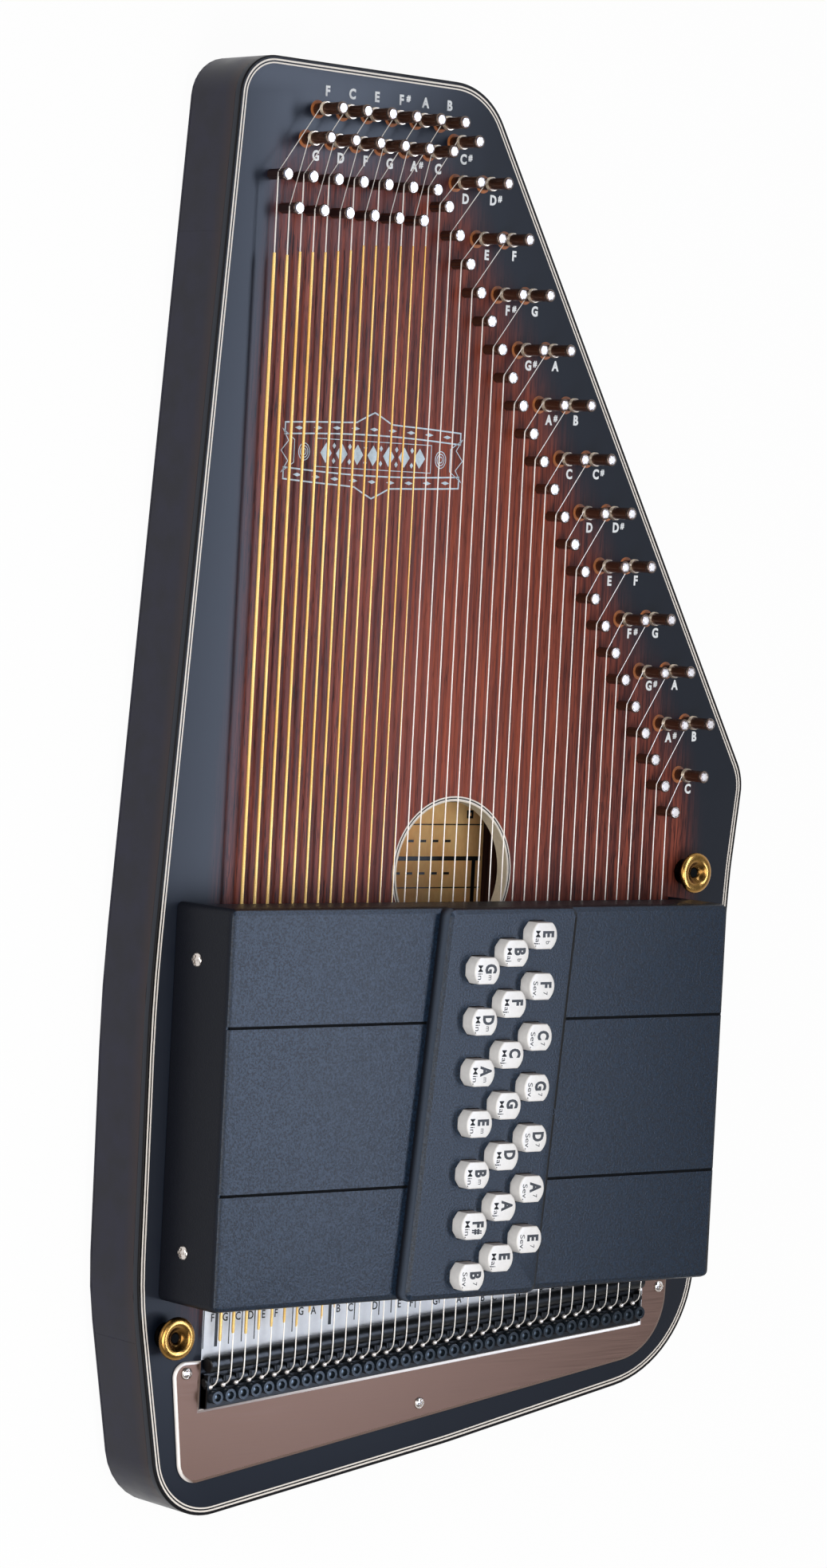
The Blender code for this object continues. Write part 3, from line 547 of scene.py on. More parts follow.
def bar_finish():
    """Wood bar with a felt strip along its underside."""
    finish = Finish("bar_wood_and_felt", roughness=0.7, specular=0.3)
    felt = finish.remap(finish.axis("Z"), 0.0530, 0.0531)
    wood = finish.mix(finish.remap(finish.noise((30, 500, 400), 3.0), 0.35, 0.65),
                      linear(150, 120, 84), linear(188, 158, 116))
    fuzz = finish.mix(finish.remap(finish.noise((1600, 1600, 1600), 3.0), 0.3, 0.7),
                      linear(118, 116, 112), linear(170, 168, 160))
    finish.colour(finish.mix(felt, fuzz, wood))
    finish.roughness(finish.remap(felt, 0.0, 1.0, 0.95, 0.55))
    finish.bump(finish.noise((1200, 1200, 1200), 3.0), 0.12, 0.5)
    return finish.material


def ivory():
    """White button plastic, with painted shade that greys the flat facing away from the player's hand."""
    finish = Finish("ivory_plastic", roughness=0.38)
    noise = finish.noise((500, 500, 500), 4.0)
    white = finish.mix(finish.remap(noise, 0.3, 0.7), linear(234, 231, 228), linear(242, 239, 236))
    facing = finish.node("ShaderNodeSeparateXYZ")
    finish.wire(finish.node("ShaderNodeNewGeometry").outputs["Normal"], facing.inputs[0])
    far = finish.remap(facing.outputs["Y"], 0.86, 0.97, kind="SMOOTHSTEP")
    # Painted shade: grey on the far-facing flat.
    finish.colour(finish.mix(far, white, linear(186, 177, 174)))
    finish.bump(noise, 0.01)
    return finish.material


def label_paper():
    finish = Finish("label_paper", roughness=0.75, specular=0.2)
    blot = finish.noise((60, 60, 60), 4.0)
    fibre = finish.noise((900, 300, 300), 3.0)
    tan = finish.mix(finish.remap(blot, 0.3, 0.7), linear(250, 178, 108), linear(255, 212, 146))
    finish.colour(finish.mix(finish.remap(fibre, 0.3, 0.7, 0.0, 0.25), tan, linear(214, 158, 104)))
    finish.bump(fibre, 0.03, 0.4)
    return finish.material


def inner_wood():
    finish = Finish("inner_wood", roughness=0.7, specular=0.25)
    streak = finish.noise((500, 18, 300), 4.0)
    finish.colour(finish.mix(finish.remap(streak, 0.36, 0.64), linear(58, 34, 28), linear(100, 60, 46)))
    finish.bump(streak, 0.05, 0.5)
    return finish.material


FINISHES = {
    "sunburst": sunburst(),
    "lacquer": lacquer(),
    "plastic": moulded_plastic(),
    "maple": maple(),
    "winding": wound_wire(),
    "steel": speckled("string_steel", linear(255, 246, 238), 0.36, 0.25, grain=900.0, amount=0.05),
    "coil": speckled("string_coils", linear(206, 190, 170), 0.3, 0.9, grain=900.0, amount=0.10),
    # Painted shade and reflection: the pins' shanks and head rims are darker, browner copies of the bright nickel of
    # the heads.
    "pin_side": speckled("pin_shank_painted_shade", linear(92, 62, 48), 0.24, 0.6, grain=260.0, amount=0.06),
    "pin_rim_painted_shade": speckled("pin_rim_painted_shade", linear(104, 88, 80), 0.24, 0.8, grain=300.0, amount=0.05),
    "pin_head": speckled("pin_nickel", linear(250, 242, 236), 0.34, 0.6, grain=700.0, amount=0.04),
    "plate": brushed("satin_nickel", linear(112, 88, 76), 0.46, amount=0.06),
    "screw": speckled("screw_nickel", linear(214, 206, 200), 0.2, 0.9, grain=300.0, amount=0.04),
    "plate_edge": plate_edge(),
    "brass": turned_brass(),
    "dark_metal": speckled("blackened_steel", linear(16, 18, 21), 0.36, 0.2, grain=800.0, amount=0.2, specular=0.35),
    "black_socket": speckled("socket_steel", linear(30, 38, 46), 0.3, 0.2, grain=800.0, amount=0.15),
    # Painted highlight: lighter rings on the edges of the tuner screws' heads, and a lighter glint on the socket's
    # floor.
    "socket_rim_painted_highlight": speckled("socket_rim_painted_highlight", linear(40, 49, 57), 0.34, 0.4, grain=900.0, amount=0.15),
    "socket_floor_painted_glint": speckled("socket_floor_painted_glint", linear(100, 112, 122), 0.34, 0.6, grain=900.0, amount=0.15),
    "ivory": ivory(),
    "ink": speckled("black_ink", linear(16, 16, 18), 0.55, 0.0, grain=900.0, amount=0.2),
    "grey_ink": speckled("grey_ink", linear(22, 21, 24), 0.6, 0.0, grain=900.0, amount=0.15),
    "white_paint": speckled("white_paint", linear(246, 249, 252), 0.5, 0.0, grain=900.0, amount=0.06),
    "pale_blue_paint": speckled("pale_blue_paint", linear(196, 214, 226), 0.5, 0.0, grain=700.0, amount=0.12),
    "white_binding": speckled("white_binding", linear(238, 230, 221), 0.45, 0.0, grain=600.0, amount=0.06, specular=0.2),
    "black_binding": speckled("black_binding", linear(14, 12, 14), 0.4, 0.0, grain=600.0, amount=0.15, specular=0.15),
    "cream_wall": speckled("cream_wall", linear(214, 202, 178), 0.5, 0.0, grain=500.0, amount=0.08),
    "bare_wood": speckled("bare_wood", linear(168, 98, 44), 0.7, 0.0, grain=700.0, amount=0.30, bump=0.1),
    "card": speckled("chart_card", linear(234, 240, 253), 0.6, 0.0, grain=400.0, amount=0.04),
    "paper": label_paper(),
    "inner_wood": inner_wood(),
    "bar": bar_finish(),
    "rubber": speckled("rubber", linear(34, 34, 35), 0.85, 0.0, grain=700.0, amount=0.2, bump=0.05),
    # Painted shade: black for strips and discs put where grooves and recesses fall into shade.
    "shadow_line": speckled("painted_shade_black", linear(9, 10, 12), 0.7, 0.0, amount=0.1, specular=0.05),
}

CAD_FINISH = {
    "soundboard": "sunburst", "back_panel": "lacquer", "bass_rail": "lacquer", "treble_rail": "lacquer",
    "tail_block": "lacquer", "pin_block_top": "lacquer", "pin_block_side": "lacquer",
    "chord_bar_cover": "plastic", "bar_holder_bass": "plastic", "bar_holder_treble": "plastic",
    "strings_and_bridge_rod": "steel", "fine_tuner_rail": "dark_metal", "tail_plate": "plate",
    "strap_button_lower": "brass", "strap_button_upper": "brass",
    "foot_top": "rubber", "foot_bass": "rubber", "foot_treble": "rubber",
}
for node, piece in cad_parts.items():
    key = CAD_FINISH.get(node) or ("ivory" if node.startswith("chord_button") else "bar")
    piece.data.materials.clear()
    piece.data.materials.append(FINISHES[key])
    weld = piece.modifiers.new("weld", "WELD")
    weld.merge_threshold = 0.002 * MM
    piece.data.shade_smooth()
    split = piece.modifiers.new("creases", "EDGE_SPLIT")
    split.split_angle = math.radians(33)
    even = piece.modifiers.new("even_shading", "WEIGHTED_NORMAL")
    even.keep_sharp = True


# Body


BODY_OUTLINE = rounded(BODY_CORNERS)


def make_soundboard():
    """Board with a rounded lip, filled round the sound hole."""
    work = bmesh.new()
    lip = 0.6
    rings = [level(inset(BODY_OUTLINE, 0.04), BOARD_UNDER - 0.28)]
    for k in range(5):
        angle = math.pi / 2 * k / 4
        rings.append(level(inset(BODY_OUTLINE, lip * (1 - math.cos(angle)) + 0.04),
                           BOARD_TOP - lip + lip * math.sin(angle)))
    made = loft(work, rings)
    hole = [[work.verts.new(p) for p in level(circle(HOLE_CENTRE, HOLE_RADIUS + 0.6, 72), z)]
            for z in (BOARD_TOP, BOARD_UNDER - 0.28)]
    for k in range(72):
        after = (k + 1) % 72
        work.faces.new((hole[0][k], hole[0][after], hole[1][after], hole[1][k]))
    fill_between(work, made[-1], hole[0])
    fill_between(work, made[0], hole[1])
    piece = finish_mesh(work, "soundboard_sunburst", FINISHES["sunburst"], 30.0)
    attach(piece, "instrument")
    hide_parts("soundboard")


def make_lip():
    """Rounded black edge over the board's rim, and the triple line inside it."""
    round_edge, flat = 0.6, 1.4
    work = bmesh.new()
    top = BOARD_TOP + 0.03
    rings = []
    for k in range(5):
        angle = math.pi / 2 * k / 4
        rings.append(level(inset(BODY_OUTLINE, 0.03 + round_edge * (1 - math.cos(angle))),
                           top - round_edge + round_edge * math.sin(angle)))
    rings.append(level(inset(BODY_OUTLINE, flat), top))
    rings.append(level(inset(BODY_OUTLINE, flat), top - round_edge))
    made = loft(work, rings)
    close_band(work, made)
    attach(finish_mesh(work, "edge_lip_black", FINISHES["black_binding"], 30.0), "instrument")
    for name, outer, width, rise, finish in (
            ("binding_outer_white", flat, 0.7, 0.05, "white_binding"),
            ("binding_black", 2.1, 0.6, 0.04, "black_binding"),
            ("binding_inner_white", 2.7, 0.6, 0.05, "white_binding")):
        work = bmesh.new()
        strip(work, BODY_OUTLINE, outer + width, outer, BOARD_TOP - 0.4, BOARD_TOP + rise)
        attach(finish_mesh(work, name, FINISHES[finish], 30.0), "instrument")


def make_seam_fill():
    """Lacquer that closes the hairline seams between the back, the rim's pieces and the board."""
    work = bmesh.new()
    strip(work, BODY_OUTLINE, 1.0, 0.07, RIM_UNDER - 0.5, BOARD_UNDER + 0.2)
    piece = finish_mesh(work, "rim_seam_lacquer", FINISHES["lacquer"], 30.0)
    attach(piece, "instrument")


def make_sound_hole():
    """Cream lining and a thin triple ring round the hole."""
    sides = 72
    for low, high, name, finish in ((29.6, 30.3, "hole_ring_inner", "white_binding"),
                                    (30.3, 30.8, "hole_ring_black", "black_binding"),
                                    (30.8, 31.4, "hole_ring_outer", "white_binding")):
        work = bmesh.new()
        outline = circle(HOLE_CENTRE, high, sides)
        strip(work, outline, high - low, 0.0, BOARD_TOP - 0.3, BOARD_TOP + 0.06)
        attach(finish_mesh(work, name, FINISHES[finish], 30.0), "instrument")
    work = bmesh.new()
    outline = circle(HOLE_CENTRE, HOLE_RADIUS + 0.7, sides)
    strip(work, outline, 0.9, 0.0, BOARD_UNDER - 3.1, BOARD_TOP + 0.05)
    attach(finish_mesh(work, "hole_lining", FINISHES["cream_wall"], 30.0), "instrument")


def make_interior():
    """What shows through the sound hole: the back's inside, a brace, and a ruled paper label."""
    work = bmesh.new()
    box(work, -60, 90, -60, 70, BACK_TOP + 0.02, BACK_TOP + 0.3)
    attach(finish_mesh(work, "back_inner_veneer", FINISHES["inner_wood"]), "instrument")
    work = bmesh.new()
    box(work, 54.0, 62.0, -70, 80, BACK_TOP + 0.3, BACK_TOP + 9.0)
    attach(finish_mesh(work, "back_brace", FINISHES["inner_wood"]), "instrument")
    work = bmesh.new()
    low = BACK_TOP + 0.3
    box(work, -38.0, 43.5, -42.0, 40.0, low, low + 0.12)
    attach(finish_mesh(work, "inner_label", FINISHES["paper"]), "instrument")
    work = bmesh.new()
    top = low + 0.12
    for y, thick in ((34.0, 0.25), (24.4, 0.25), (10.2, 0.9), (-2.0, 0.25), (-9.0, 0.25), (-22.0, 0.25)):
        box(work, -33.0, 42.5, y - thick, y + thick, top, top + 0.05)
    for x, thick, high in ((38.8, 1.0, 9.4), (41.6, 0.3, 37.0)):
        box(work, x - thick, x + thick, -38.0, high, top, top + 0.05)
    for y in (27.0, -17.0):
        strip(work, [Vector((34.0 + a, y + b)) for a, b in ((0, 0), (3.4, 0), (3.4, 3.4), (0, 3.4))], 1.0, 0.0,
              top, top + 0.05)
    for y in (17.5, 4.0):
        for k in range(9):
            box(work, -30 + 6.6 * k, -27 + 6.6 * k, y - 0.5, y + 0.5, top, top + 0.05)
    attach(finish_mesh(work, "inner_label_rules", FINISHES["ink"]), "instrument")


# Strings and pins


def string_x(index, y):
    return (index - (STRINGS - 1) / 2) * (PITCH + PITCH_GROWTH * y * MM)


def tail_y(line, x):
    return line + TAIL_SLOPE * x


def string_radius(index):
    if index < WOUND:
        return 0.70 - 0.40 * index / WOUND
    return 0.30 - 0.08 * (index - WOUND) / (STRINGS - WOUND)


GUIDE_RADIUS = 2.1
TUNING_RADIUS = 2.4


def guide_pin(index):
    if index < WOUND:
        y = 269.8 if index % 2 else 282.6
    else:
        y = 276.4 - 11.07 * (index - WOUND)
    return Vector((string_x(index, y) + GUIDE_RADIUS + 0.3 + string_radius(index), y))


def tuning_pin(index):
    if index == WOUND - 1:
        return Vector((-16.7, 303.0))
    if index < WOUND - 1:
        start = (-92.2, 298.0) if index % 2 else (-87.0, 310.0)
        return Vector((start[0] + 12.5 * (index // 2), start[1]))
    pair, outer = divmod(index - WOUND, 2)
    return Vector((-15.0 + 12.6 * pair + 14.6 * outer, 287.0 - 21.7 * pair + 0.6 * outer))


COIL_Z = 43.7


def string_path(index, core):
    """Middle of one string, from its coil round the guide pin, over the rod and down to its ball end."""
    guide, pin = guide_pin(index), tuning_pin(index)
    reach = GUIDE_RADIUS + core
    toward = (pin - guide).normalized()
    left = Vector((-toward.y, toward.x))
    path = [Vector((*(pin + left * (TUNING_RADIUS + core)), COIL_Z))]
    for k in range(5):
        way = left.lerp(Vector((-1.0, 0.0)), k / 4).normalized()
        path.append(Vector((*(guide + way * reach), STRINGS_Z)))
    x = string_x(index, ROD_LINE)
    rod = tail_y(ROD_LINE, x)
    for back, down, aside in ((-1.0, 0.0, 0.0), (2.5, 0.1, 0.0), (5.5, 0.4, 0.0), (7.2, 1.1, 0.2),
                              (8.2, 2.0, 0.6), (8.7, 2.8, 1.0)):
        path.append(Vector((x - aside, rod - back, STRINGS_Z + 0.2 - down)))
    return path


def make_strings():
    """Plain strings, the bronze windings of the bass ones, and the ball ends."""
    plain, wound, balls = bmesh.new(), bmesh.new(), bmesh.new()
    winding_top = (251.7, 251.3, 253.0, 253.3, 253.7, 254.7, 255.5, 257.8, 258.2, 258.6, 259.0, 259.5, 259.9)
    winding_end = (-177.9, -175.2, -175.8, -174.6, -173.8, -172.6, -174.6, -169.3, -172.3, -168, -167, -166, -165)
    for index in range(STRINGS):
        core = min(0.26, string_radius(index))
        path = string_path(index, core)
        tube(plain, path, [core * 0.65] * 2 + [core] * (len(path) - 2), 8)
        guide_end, rod_end, ball = path[5], path[6], path[-1]
        if index < WOUND:
            radius = string_radius(index)
            places = []
            for y in (winding_top[index], winding_top[index] - 5, winding_end[index] + 1.5, winding_end[index]):
                share = (guide_end.y - y) / (guide_end.y - rod_end.y)
                places.append((guide_end.x + (rod_end.x - guide_end.x) * share, y, STRINGS_Z))
            tube(wound, places, [radius * 0.86, radius, radius, radius * 0.8], 10)
        bmesh.ops.create_uvsphere(balls, u_segments=12, v_segments=8, radius=1.05,
                                  matrix=Matrix.Translation(ball + Vector((-0.4, -0.3, -0.3))))
    main = finish_mesh(plain, "strings_plain", FINISHES["steel"])
    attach(main, "instrument")
    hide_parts("strings_and_bridge_rod")
    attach(finish_mesh(wound, "strings_wound", FINISHES["winding"]), "instrument")
    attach(finish_mesh(balls, "string_ball_ends", FINISHES["pin_head"]), "instrument")


def make_tail_bars():
    """Bridge rod that the strings bear on, and the shaft that the fine tuners pivot on."""
    for name, line, z, radius, reach in (("bridge_rod", ROD_LINE, STRINGS_Z - ROD_RADIUS - 0.05, ROD_RADIUS, 0.0),
                                         ("pivot_shaft", CLAW_LINE, PIVOT_Z, PIVOT_RADIUS, 0.7)):
        work = bmesh.new()
        half = TAIL_HALF + reach
        edge = 0.4
        places = [(x, tail_y(line, x), z) for x in (-half, edge - half, half - edge, half)]
        tube(work, places, [radius - edge, radius, radius, radius - edge], 24)
        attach(finish_mesh(work, name, FINISHES["dark_metal"]), "instrument")


def pin_profile(radius, flare, top, crown):
    """Side and domed rim of one pin, then its flat top, as (radius, height) pairs."""
    side = [(radius, BOARD_TOP - 1), (radius, top - crown - 0.9)]
    rim = [(radius, top - crown - 0.9), (radius + flare, top - crown - 0.5)]
    for k in range(5):
        angle = math.pi / 2 * k / 4
        rim.append((radius + flare - crown * (1 - math.cos(angle)), top - crown + crown * math.sin(angle) - 0.02))
    flat = radius + flare - crown
    face = [(flat, top - 0.3), (flat, top - 0.01), (flat * 0.8, top + 0.02), (flat * 0.3, top + 0.03)]
    return side, rim, face


def make_pins():
    """Guide pins and tuning pins, with the coils of string and the bare rims of the pins' holes."""
    sides, rims, heads, coils, holes = (bmesh.new() for _ in range(5))
    wire, turns = 0.3, 3
    for index in range(STRINGS):
        guide, pin = guide_pin(index), tuning_pin(index)
        for place, radius, flare, top, crown in ((guide, GUIDE_RADIUS + 0.02, 0.5, 48.48, 0.5),
                                                 (pin, TUNING_RADIUS + 0.02, 0.18, 54.58, 0.85)):
            for work, profile in zip((sides, rims, heads), pin_profile(radius, flare, top, crown)):
                turned(work, place, profile, 24)
        path = [(pin.x + (TUNING_RADIUS + wire) * math.cos(math.tau * k / 14),
                 pin.y + (TUNING_RADIUS + wire) * math.sin(math.tau * k / 14),
                 COIL_Z - 1.0 + 2 * wire * k / 14) for k in range(14 * turns + 1)]
        tube(coils, path, wire, 6)
        turned(holes, pin, [(TUNING_RADIUS + 1.25, BOARD_TOP - 0.3), (TUNING_RADIUS + 1.25, BOARD_TOP + 0.04),
                            (TUNING_RADIUS + 0.1, BOARD_TOP + 0.05)], 24)
    for name, work, finish in (("pin_shanks", sides, "pin_side"), ("pin_rims", rims, "pin_rim_painted_shade"),
                               ("pin_heads", heads, "pin_head"), ("string_coils", coils, "coil"),
                               ("pin_hole_rims", holes, "bare_wood")):
        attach(finish_mesh(work, name, FINISHES[finish], 50.0), "instrument")


def make_note_letters():
    words = []
    for index, note in enumerate(NOTES):
        pin = tuning_pin(index)
        if index < WOUND - 1 and index % 2 == 0:
            place = (pin.x + 4.4, pin.y + 7.4)
        elif index < WOUND:
            place = (pin.x + 5.2, pin.y - 6.4)
        else:
            place = (pin.x + 5.6, pin.y - 6.2)
        words.append((note[0], place[0], place[1], BOARD_TOP + 0.06, 5.5, 0.0, 0.86))
        if len(note) > 1:
            words.append((note[1], place[0] + 3.6, place[1] + 1.1, BOARD_TOP + 0.06, 3.5, 0.0, 0.9))
    lettering("note_letters", words, FINISHES["white_paint"], "instrument", weight=0.042)


# Tail


def make_tuners():
    """Fine tuners: a stepped base, a pair of cheeks for each string's end, and a socket-head screw for each."""
    step_line = -187.3
    floor_z = 39.8
    low = BOARD_TOP + 0.3
    work = bmesh.new()
    profile = [(RAIL_FAR, low), (RAIL_FAR, floor_z), (step_line, floor_z), (step_line, RAIL_TOP - 0.3),
               (step_line - 0.3, RAIL_TOP), (RAIL_NEAR + 0.3, RAIL_TOP), (RAIL_NEAR, RAIL_TOP - 0.3),
               (RAIL_NEAR, low)]
    ends = [[(x, tail_y(line, x), z) for line, z in profile] for x in (-TAIL_HALF, TAIL_HALF)]
    made = loft(work, ends)
    cap(work, made[0])
    cap(work, made[1])
    for side in (-1, 1):
        x = side * (TAIL_HALF - 0.6)
        far, near = tail_y(RAIL_FAR, x), tail_y(RAIL_NEAR, x)
        box(work, x - 0.6, x + 0.6, near + 0.4, far - 0.4, low, 42.6)
    piece = finish_mesh(work, "fine_tuner_base", FINISHES["dark_metal"])
    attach(piece, "instrument")
    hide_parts("fine_tuner_rail")
    screws, rims, claws, sockets = bmesh.new(), bmesh.new(), bmesh.new(), bmesh.new()
    top = TUNER_TOP - 0.3
    for index in range(STRINGS):
        x = string_x(index, ROD_LINE)
        centre = (x, tail_y(TUNER_LINE, x))
        rings = [level(circle(centre, radius, 24), z) for radius, z in (
            (2.6, RAIL_TOP - 0.5), (2.75, RAIL_TOP), (2.75, top - 0.4), (2.55, top - 0.08), (1.65, top - 0.08),
            (1.5, top - 0.3), (1.5, top - 1.6))]
        made = loft(screws, rings)
        cap(screws, made[0])
        cap(screws, made[-1])
        strip(rims, circle(centre, 2.6, 24), 0.3, 0.0, top - 0.4, top)
        strip(rims, circle(centre, 1.85, 24), 0.3, 0.0, top - 0.4, top - 0.02)
        turned(sockets, centre, [(0.8, top - 1.65), (0.8, top - 1.5), (0.3, top - 1.45)], 6)
        y = tail_y(CLAW_LINE, x)
        box(claws, x - 1.9, x + 1.9, y, y + 2.0, floor_z - 0.2, 43.0)
        for side in (-1, 1):
            middle = x + side * 1.55
            box(claws, middle - 0.35, middle + 0.35, y - 2.0, y + 0.5, floor_z - 0.2, 41.0)
    for name, made, finish in (("tuner_screws", screws, "black_socket"), ("tuner_screw_rims", rims, "socket_rim_painted_highlight"),
                               ("tuner_claws", claws, "dark_metal"), ("tuner_sockets", sockets, "socket_floor_painted_glint")):
        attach(finish_mesh(made, name, FINISHES[finish]), "instrument")


PLATE_CORNERS = (
    (-129.2, -186.6, 6), (-115.2, -186.6, 0), (-115.2, -206.2, 0), (116.2, -185.6, 0),
    (116.2, -163.6, 0), (131.4, -163.6, 2), (130.3, -197.7, 28), (-123.3, -236.8, 9),
)


def make_tail_plate():
    outline = rounded(PLATE_CORNERS)
    low, high = BOARD_TOP + 0.3, BOARD_TOP + 1.3
    work = bmesh.new()
    made = loft(work, [level(inset(outline, 1.1), low + 0.1), level(inset(outline, 1.1), high + 0.02)])
    cap(work, made[0])
    cap(work, made[1])
    piece = finish_mesh(work, "tail_plate_face", FINISHES["plate"])
    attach(piece, "instrument")
    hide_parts("tail_plate")
    work = bmesh.new()
    rings = [level(outline, low), level(outline, high - 0.45), level(inset(outline, 0.3), high - 0.15),
             level(inset(outline, 1.2), high + 0.03), level(inset(outline, 1.2), low)]
    close_band(work, loft(work, rings))
    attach(finish_mesh(work, "tail_plate_edge", FINISHES["plate_edge"], 50.0), "instrument")


def screw_head(name, place, radius, height, normal="Z"):
    """Domed screw head with a cross recess."""
    work = bmesh.new()
    profile = [(radius, 0.0), (radius, height * 0.25), (radius * 0.86, height * 0.66),
               (radius * 0.6, height * 0.9), (radius * 0.3, height * 0.99), (0.0, height)]
    turned(work, (0, 0), profile, 24)
    dome = bpy.data.meshes.new(name)
    bmesh.ops.recalc_face_normals(work, faces=work.faces)
    for face in work.faces:
        face.smooth = True
    work.to_mesh(dome)
    work.free()
    head = bpy.data.objects.new(name, dome)
    work = bmesh.new()
    wide, long = radius * 0.14, radius * 0.62
    box(work, -wide, wide, -long, long, height * 0.45, height * 1.5)
    box(work, -long, long, -wide, wide, height * 0.45, height * 1.5)
    bmesh.ops.recalc_face_normals(work, faces=work.faces)
    cross = bpy.data.meshes.new(name + "_recess")
    work.to_mesh(cross)
    work.free()
    cutter = bpy.data.objects.new(name + "_recess", cross)
    for item in (head, cutter):
        bpy.context.scene.collection.objects.link(item)
    cut = head.modifiers.new("recess", "BOOLEAN")
    cut.operation = "DIFFERENCE"
    cut.object = cutter
    cut.use_self = True
    bpy.context.view_layer.update()
    shape = bpy.data.meshes.new_from_object(head.evaluated_get(bpy.context.evaluated_depsgraph_get()))
    head.modifiers.clear()
    head.data = shape
    bpy.data.objects.remove(cutter)
    turn = Matrix.Rotation(-math.pi / 2, 4, "Y") if normal == "-X" else Matrix.Identity(4)
    shape.transform(Matrix.Translation(PLAN + Vector(place) * MM) @ turn @ Matrix.Scale(MM, 4))
    shape.materials.clear()
    shape.materials.append(FINISHES["screw"])
    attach(head, "instrument")


def make_screws():
    for k, (x, y) in enumerate(((-122.5, -191.1), (-2.6, -211.5), (126.5, -170.6))):
        screw_head(f"plate_screw_{k + 1}", (x, y, BOARD_TOP + 1.3), 2.5, 1.3)
    for k, y in enumerate((-25.2, -140.3)):
        screw_head(f"cover_screw_{k + 1}", (-137.2, y, 53.0), 2.9, 0.0 + 1.4, "-X")


def make_chart():
    """Note chart under the strings at the tail, ruled and lettered like a keyboard."""
    work = bmesh.new()
    low = BOARD_TOP + 0.02
    left, right = -114.7, 118.0
    corners = [(left, tail_y(CHART_EDGE, left)), (right, tail_y(CHART_EDGE, right)),
               (right, -100.0), (left, -100.0)]
    made = loft(work, [level(corners, low), level(corners, low + 0.18)])
    cap(work, made[0])
    cap(work, made[1])
    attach(finish_mesh(work, "note_chart_card", FINISHES["card"]), "instrument")
    lines, words = bmesh.new(), []
    top = low + 0.18
    thin, thick = 0.24, 0.75
    widths = {0: thin, 1: thick, 2: thin, 3: thin, 4: thin, 7: thin, 10: thick, 12: thin, 14: thin, 15: thin,
              17: thin, 19: thin, 21: thin, 22: thick, 24: thin, 26: thin, 28: thin, 31: thin, 33: thin}
    for index, note in enumerate(NOTES):
        x = string_x(index, -172.0)
        if index in widths:
            gap = x - PITCH * 0.5
            box(lines, gap - widths[index], gap + widths[index], tail_y(CHART_EDGE + 4.2, x), -100.0,
                top, top + 0.05)
        if len(note) == 1:
            words.append((note, x + 1.0, -170.0, top + 0.05, 4.6, 0.0, 0.85))
    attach(finish_mesh(lines, "note_chart_lines", FINISHES["ink"]), "instrument")
    lettering("note_chart_letters", words, FINISHES["ink"], "instrument", 0.06)


# Cover and buttons


COVER_LEFT, COVER_RIGHT = -137.2, 123.6
COVER_FAR, COVER_NEAR = -3.6, -161.4
PANEL_FAR, PANEL_NEAR = (-32.9, 36.0), (-46.8, 23.0)
GROOVES = (-50.0, -115.6)
GROOVE_WIDTH = 1.2
GROOVE_DEPTH = 1.0


def panel_side(ends, y):
    """Place across the cover of one slanted side of the panel."""
    return ends[0] + (ends[0] - ends[1]) / (COVER_FAR - COVER_NEAR) * (y - COVER_FAR)


def make_cover_lines():
    """Deep shade in the cover's grooves, and two small moulding marks."""
    work = bmesh.new()
    for y in GROOVES:
        left_end = panel_side((PANEL_FAR[0], PANEL_NEAR[0]), y) - 0.3
        right_end = panel_side((PANEL_FAR[1], PANEL_NEAR[1]), y) + 0.3
        for start, end in ((COVER_LEFT + 1.7, left_end), (right_end, COVER_RIGHT - 1.7)):
            half = GROOVE_WIDTH / 2 - 0.02
            box(work, start, end, y - half, y + half, COVER_TOP - GROOVE_DEPTH - 0.02, COVER_TOP - 0.35)
    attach(finish_mesh(work, "cover_groove_shade", FINISHES["shadow_line"]), "instrument")
    work = bmesh.new()
    for centre in ((-34.0, -84.0), (26.4, -87.0)):
        strip(work, circle(centre, 1.5, 20), 0.35, 0.0, PANEL_TOP - 0.3, PANEL_TOP + 0.03)
    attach(finish_mesh(work, "cover_moulding_marks", FINISHES["plastic"]), "instrument")


def button_outline(steps=10):
    """Round button with a flat on its far side and its near side."""
    reach = math.asin(BUTTON_DEPTH / 2 / BUTTON_RADIUS)
    points = []
    for middle in (0.0, math.pi):
        for step in range(steps + 1):
            angle = middle + reach * (2 * step / steps - 1)
            points.append(Vector((BUTTON_RADIUS * math.cos(angle), BUTTON_RADIUS * math.sin(angle))))
    return points


def make_button(index, tag):
    """Button head with softened edges on a neck no wider than its bar."""
    place = Vector((BUTTON_COLUMNS[index % 3], FIRST_BAR_Y - BAR_PITCH * index))
    outline = [p + place for p in button_outline()]
    work = bmesh.new()
    neck = [place + Vector(p) for p in ((-4.5, -2.0), (4.5, -2.0), (4.5, 2.0), (-4.5, 2.0))]
    low = loft(work, [level(neck, BAR_TOP + 0.05), level(neck, BUTTON_UNDER + 0.5)])
    cap(work, low[0])
    cap(work, low[1])
    edge, crown = 0.55, 0.12
    rings = [level(outline, BUTTON_UNDER), level(outline, BUTTON_TOP - edge - crown)]
    for k in range(1, 5):
        angle = math.pi / 2 * k / 4
        rings.append(level(inset(outline, edge * (1 - math.cos(angle))),
                           BUTTON_TOP - crown - edge + edge * math.sin(angle)))
    rings.append(level(inset(outline, 2.0), BUTTON_TOP - 0.02))
    made = loft(work, rings)
    cap(work, made[0])
    cap(work, made[-1])
    piece = finish_mesh(work, "button_" + tag, FINISHES["ivory"], 38.0)
    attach(piece, "bar_" + tag)
    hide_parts("chord_button_" + tag)


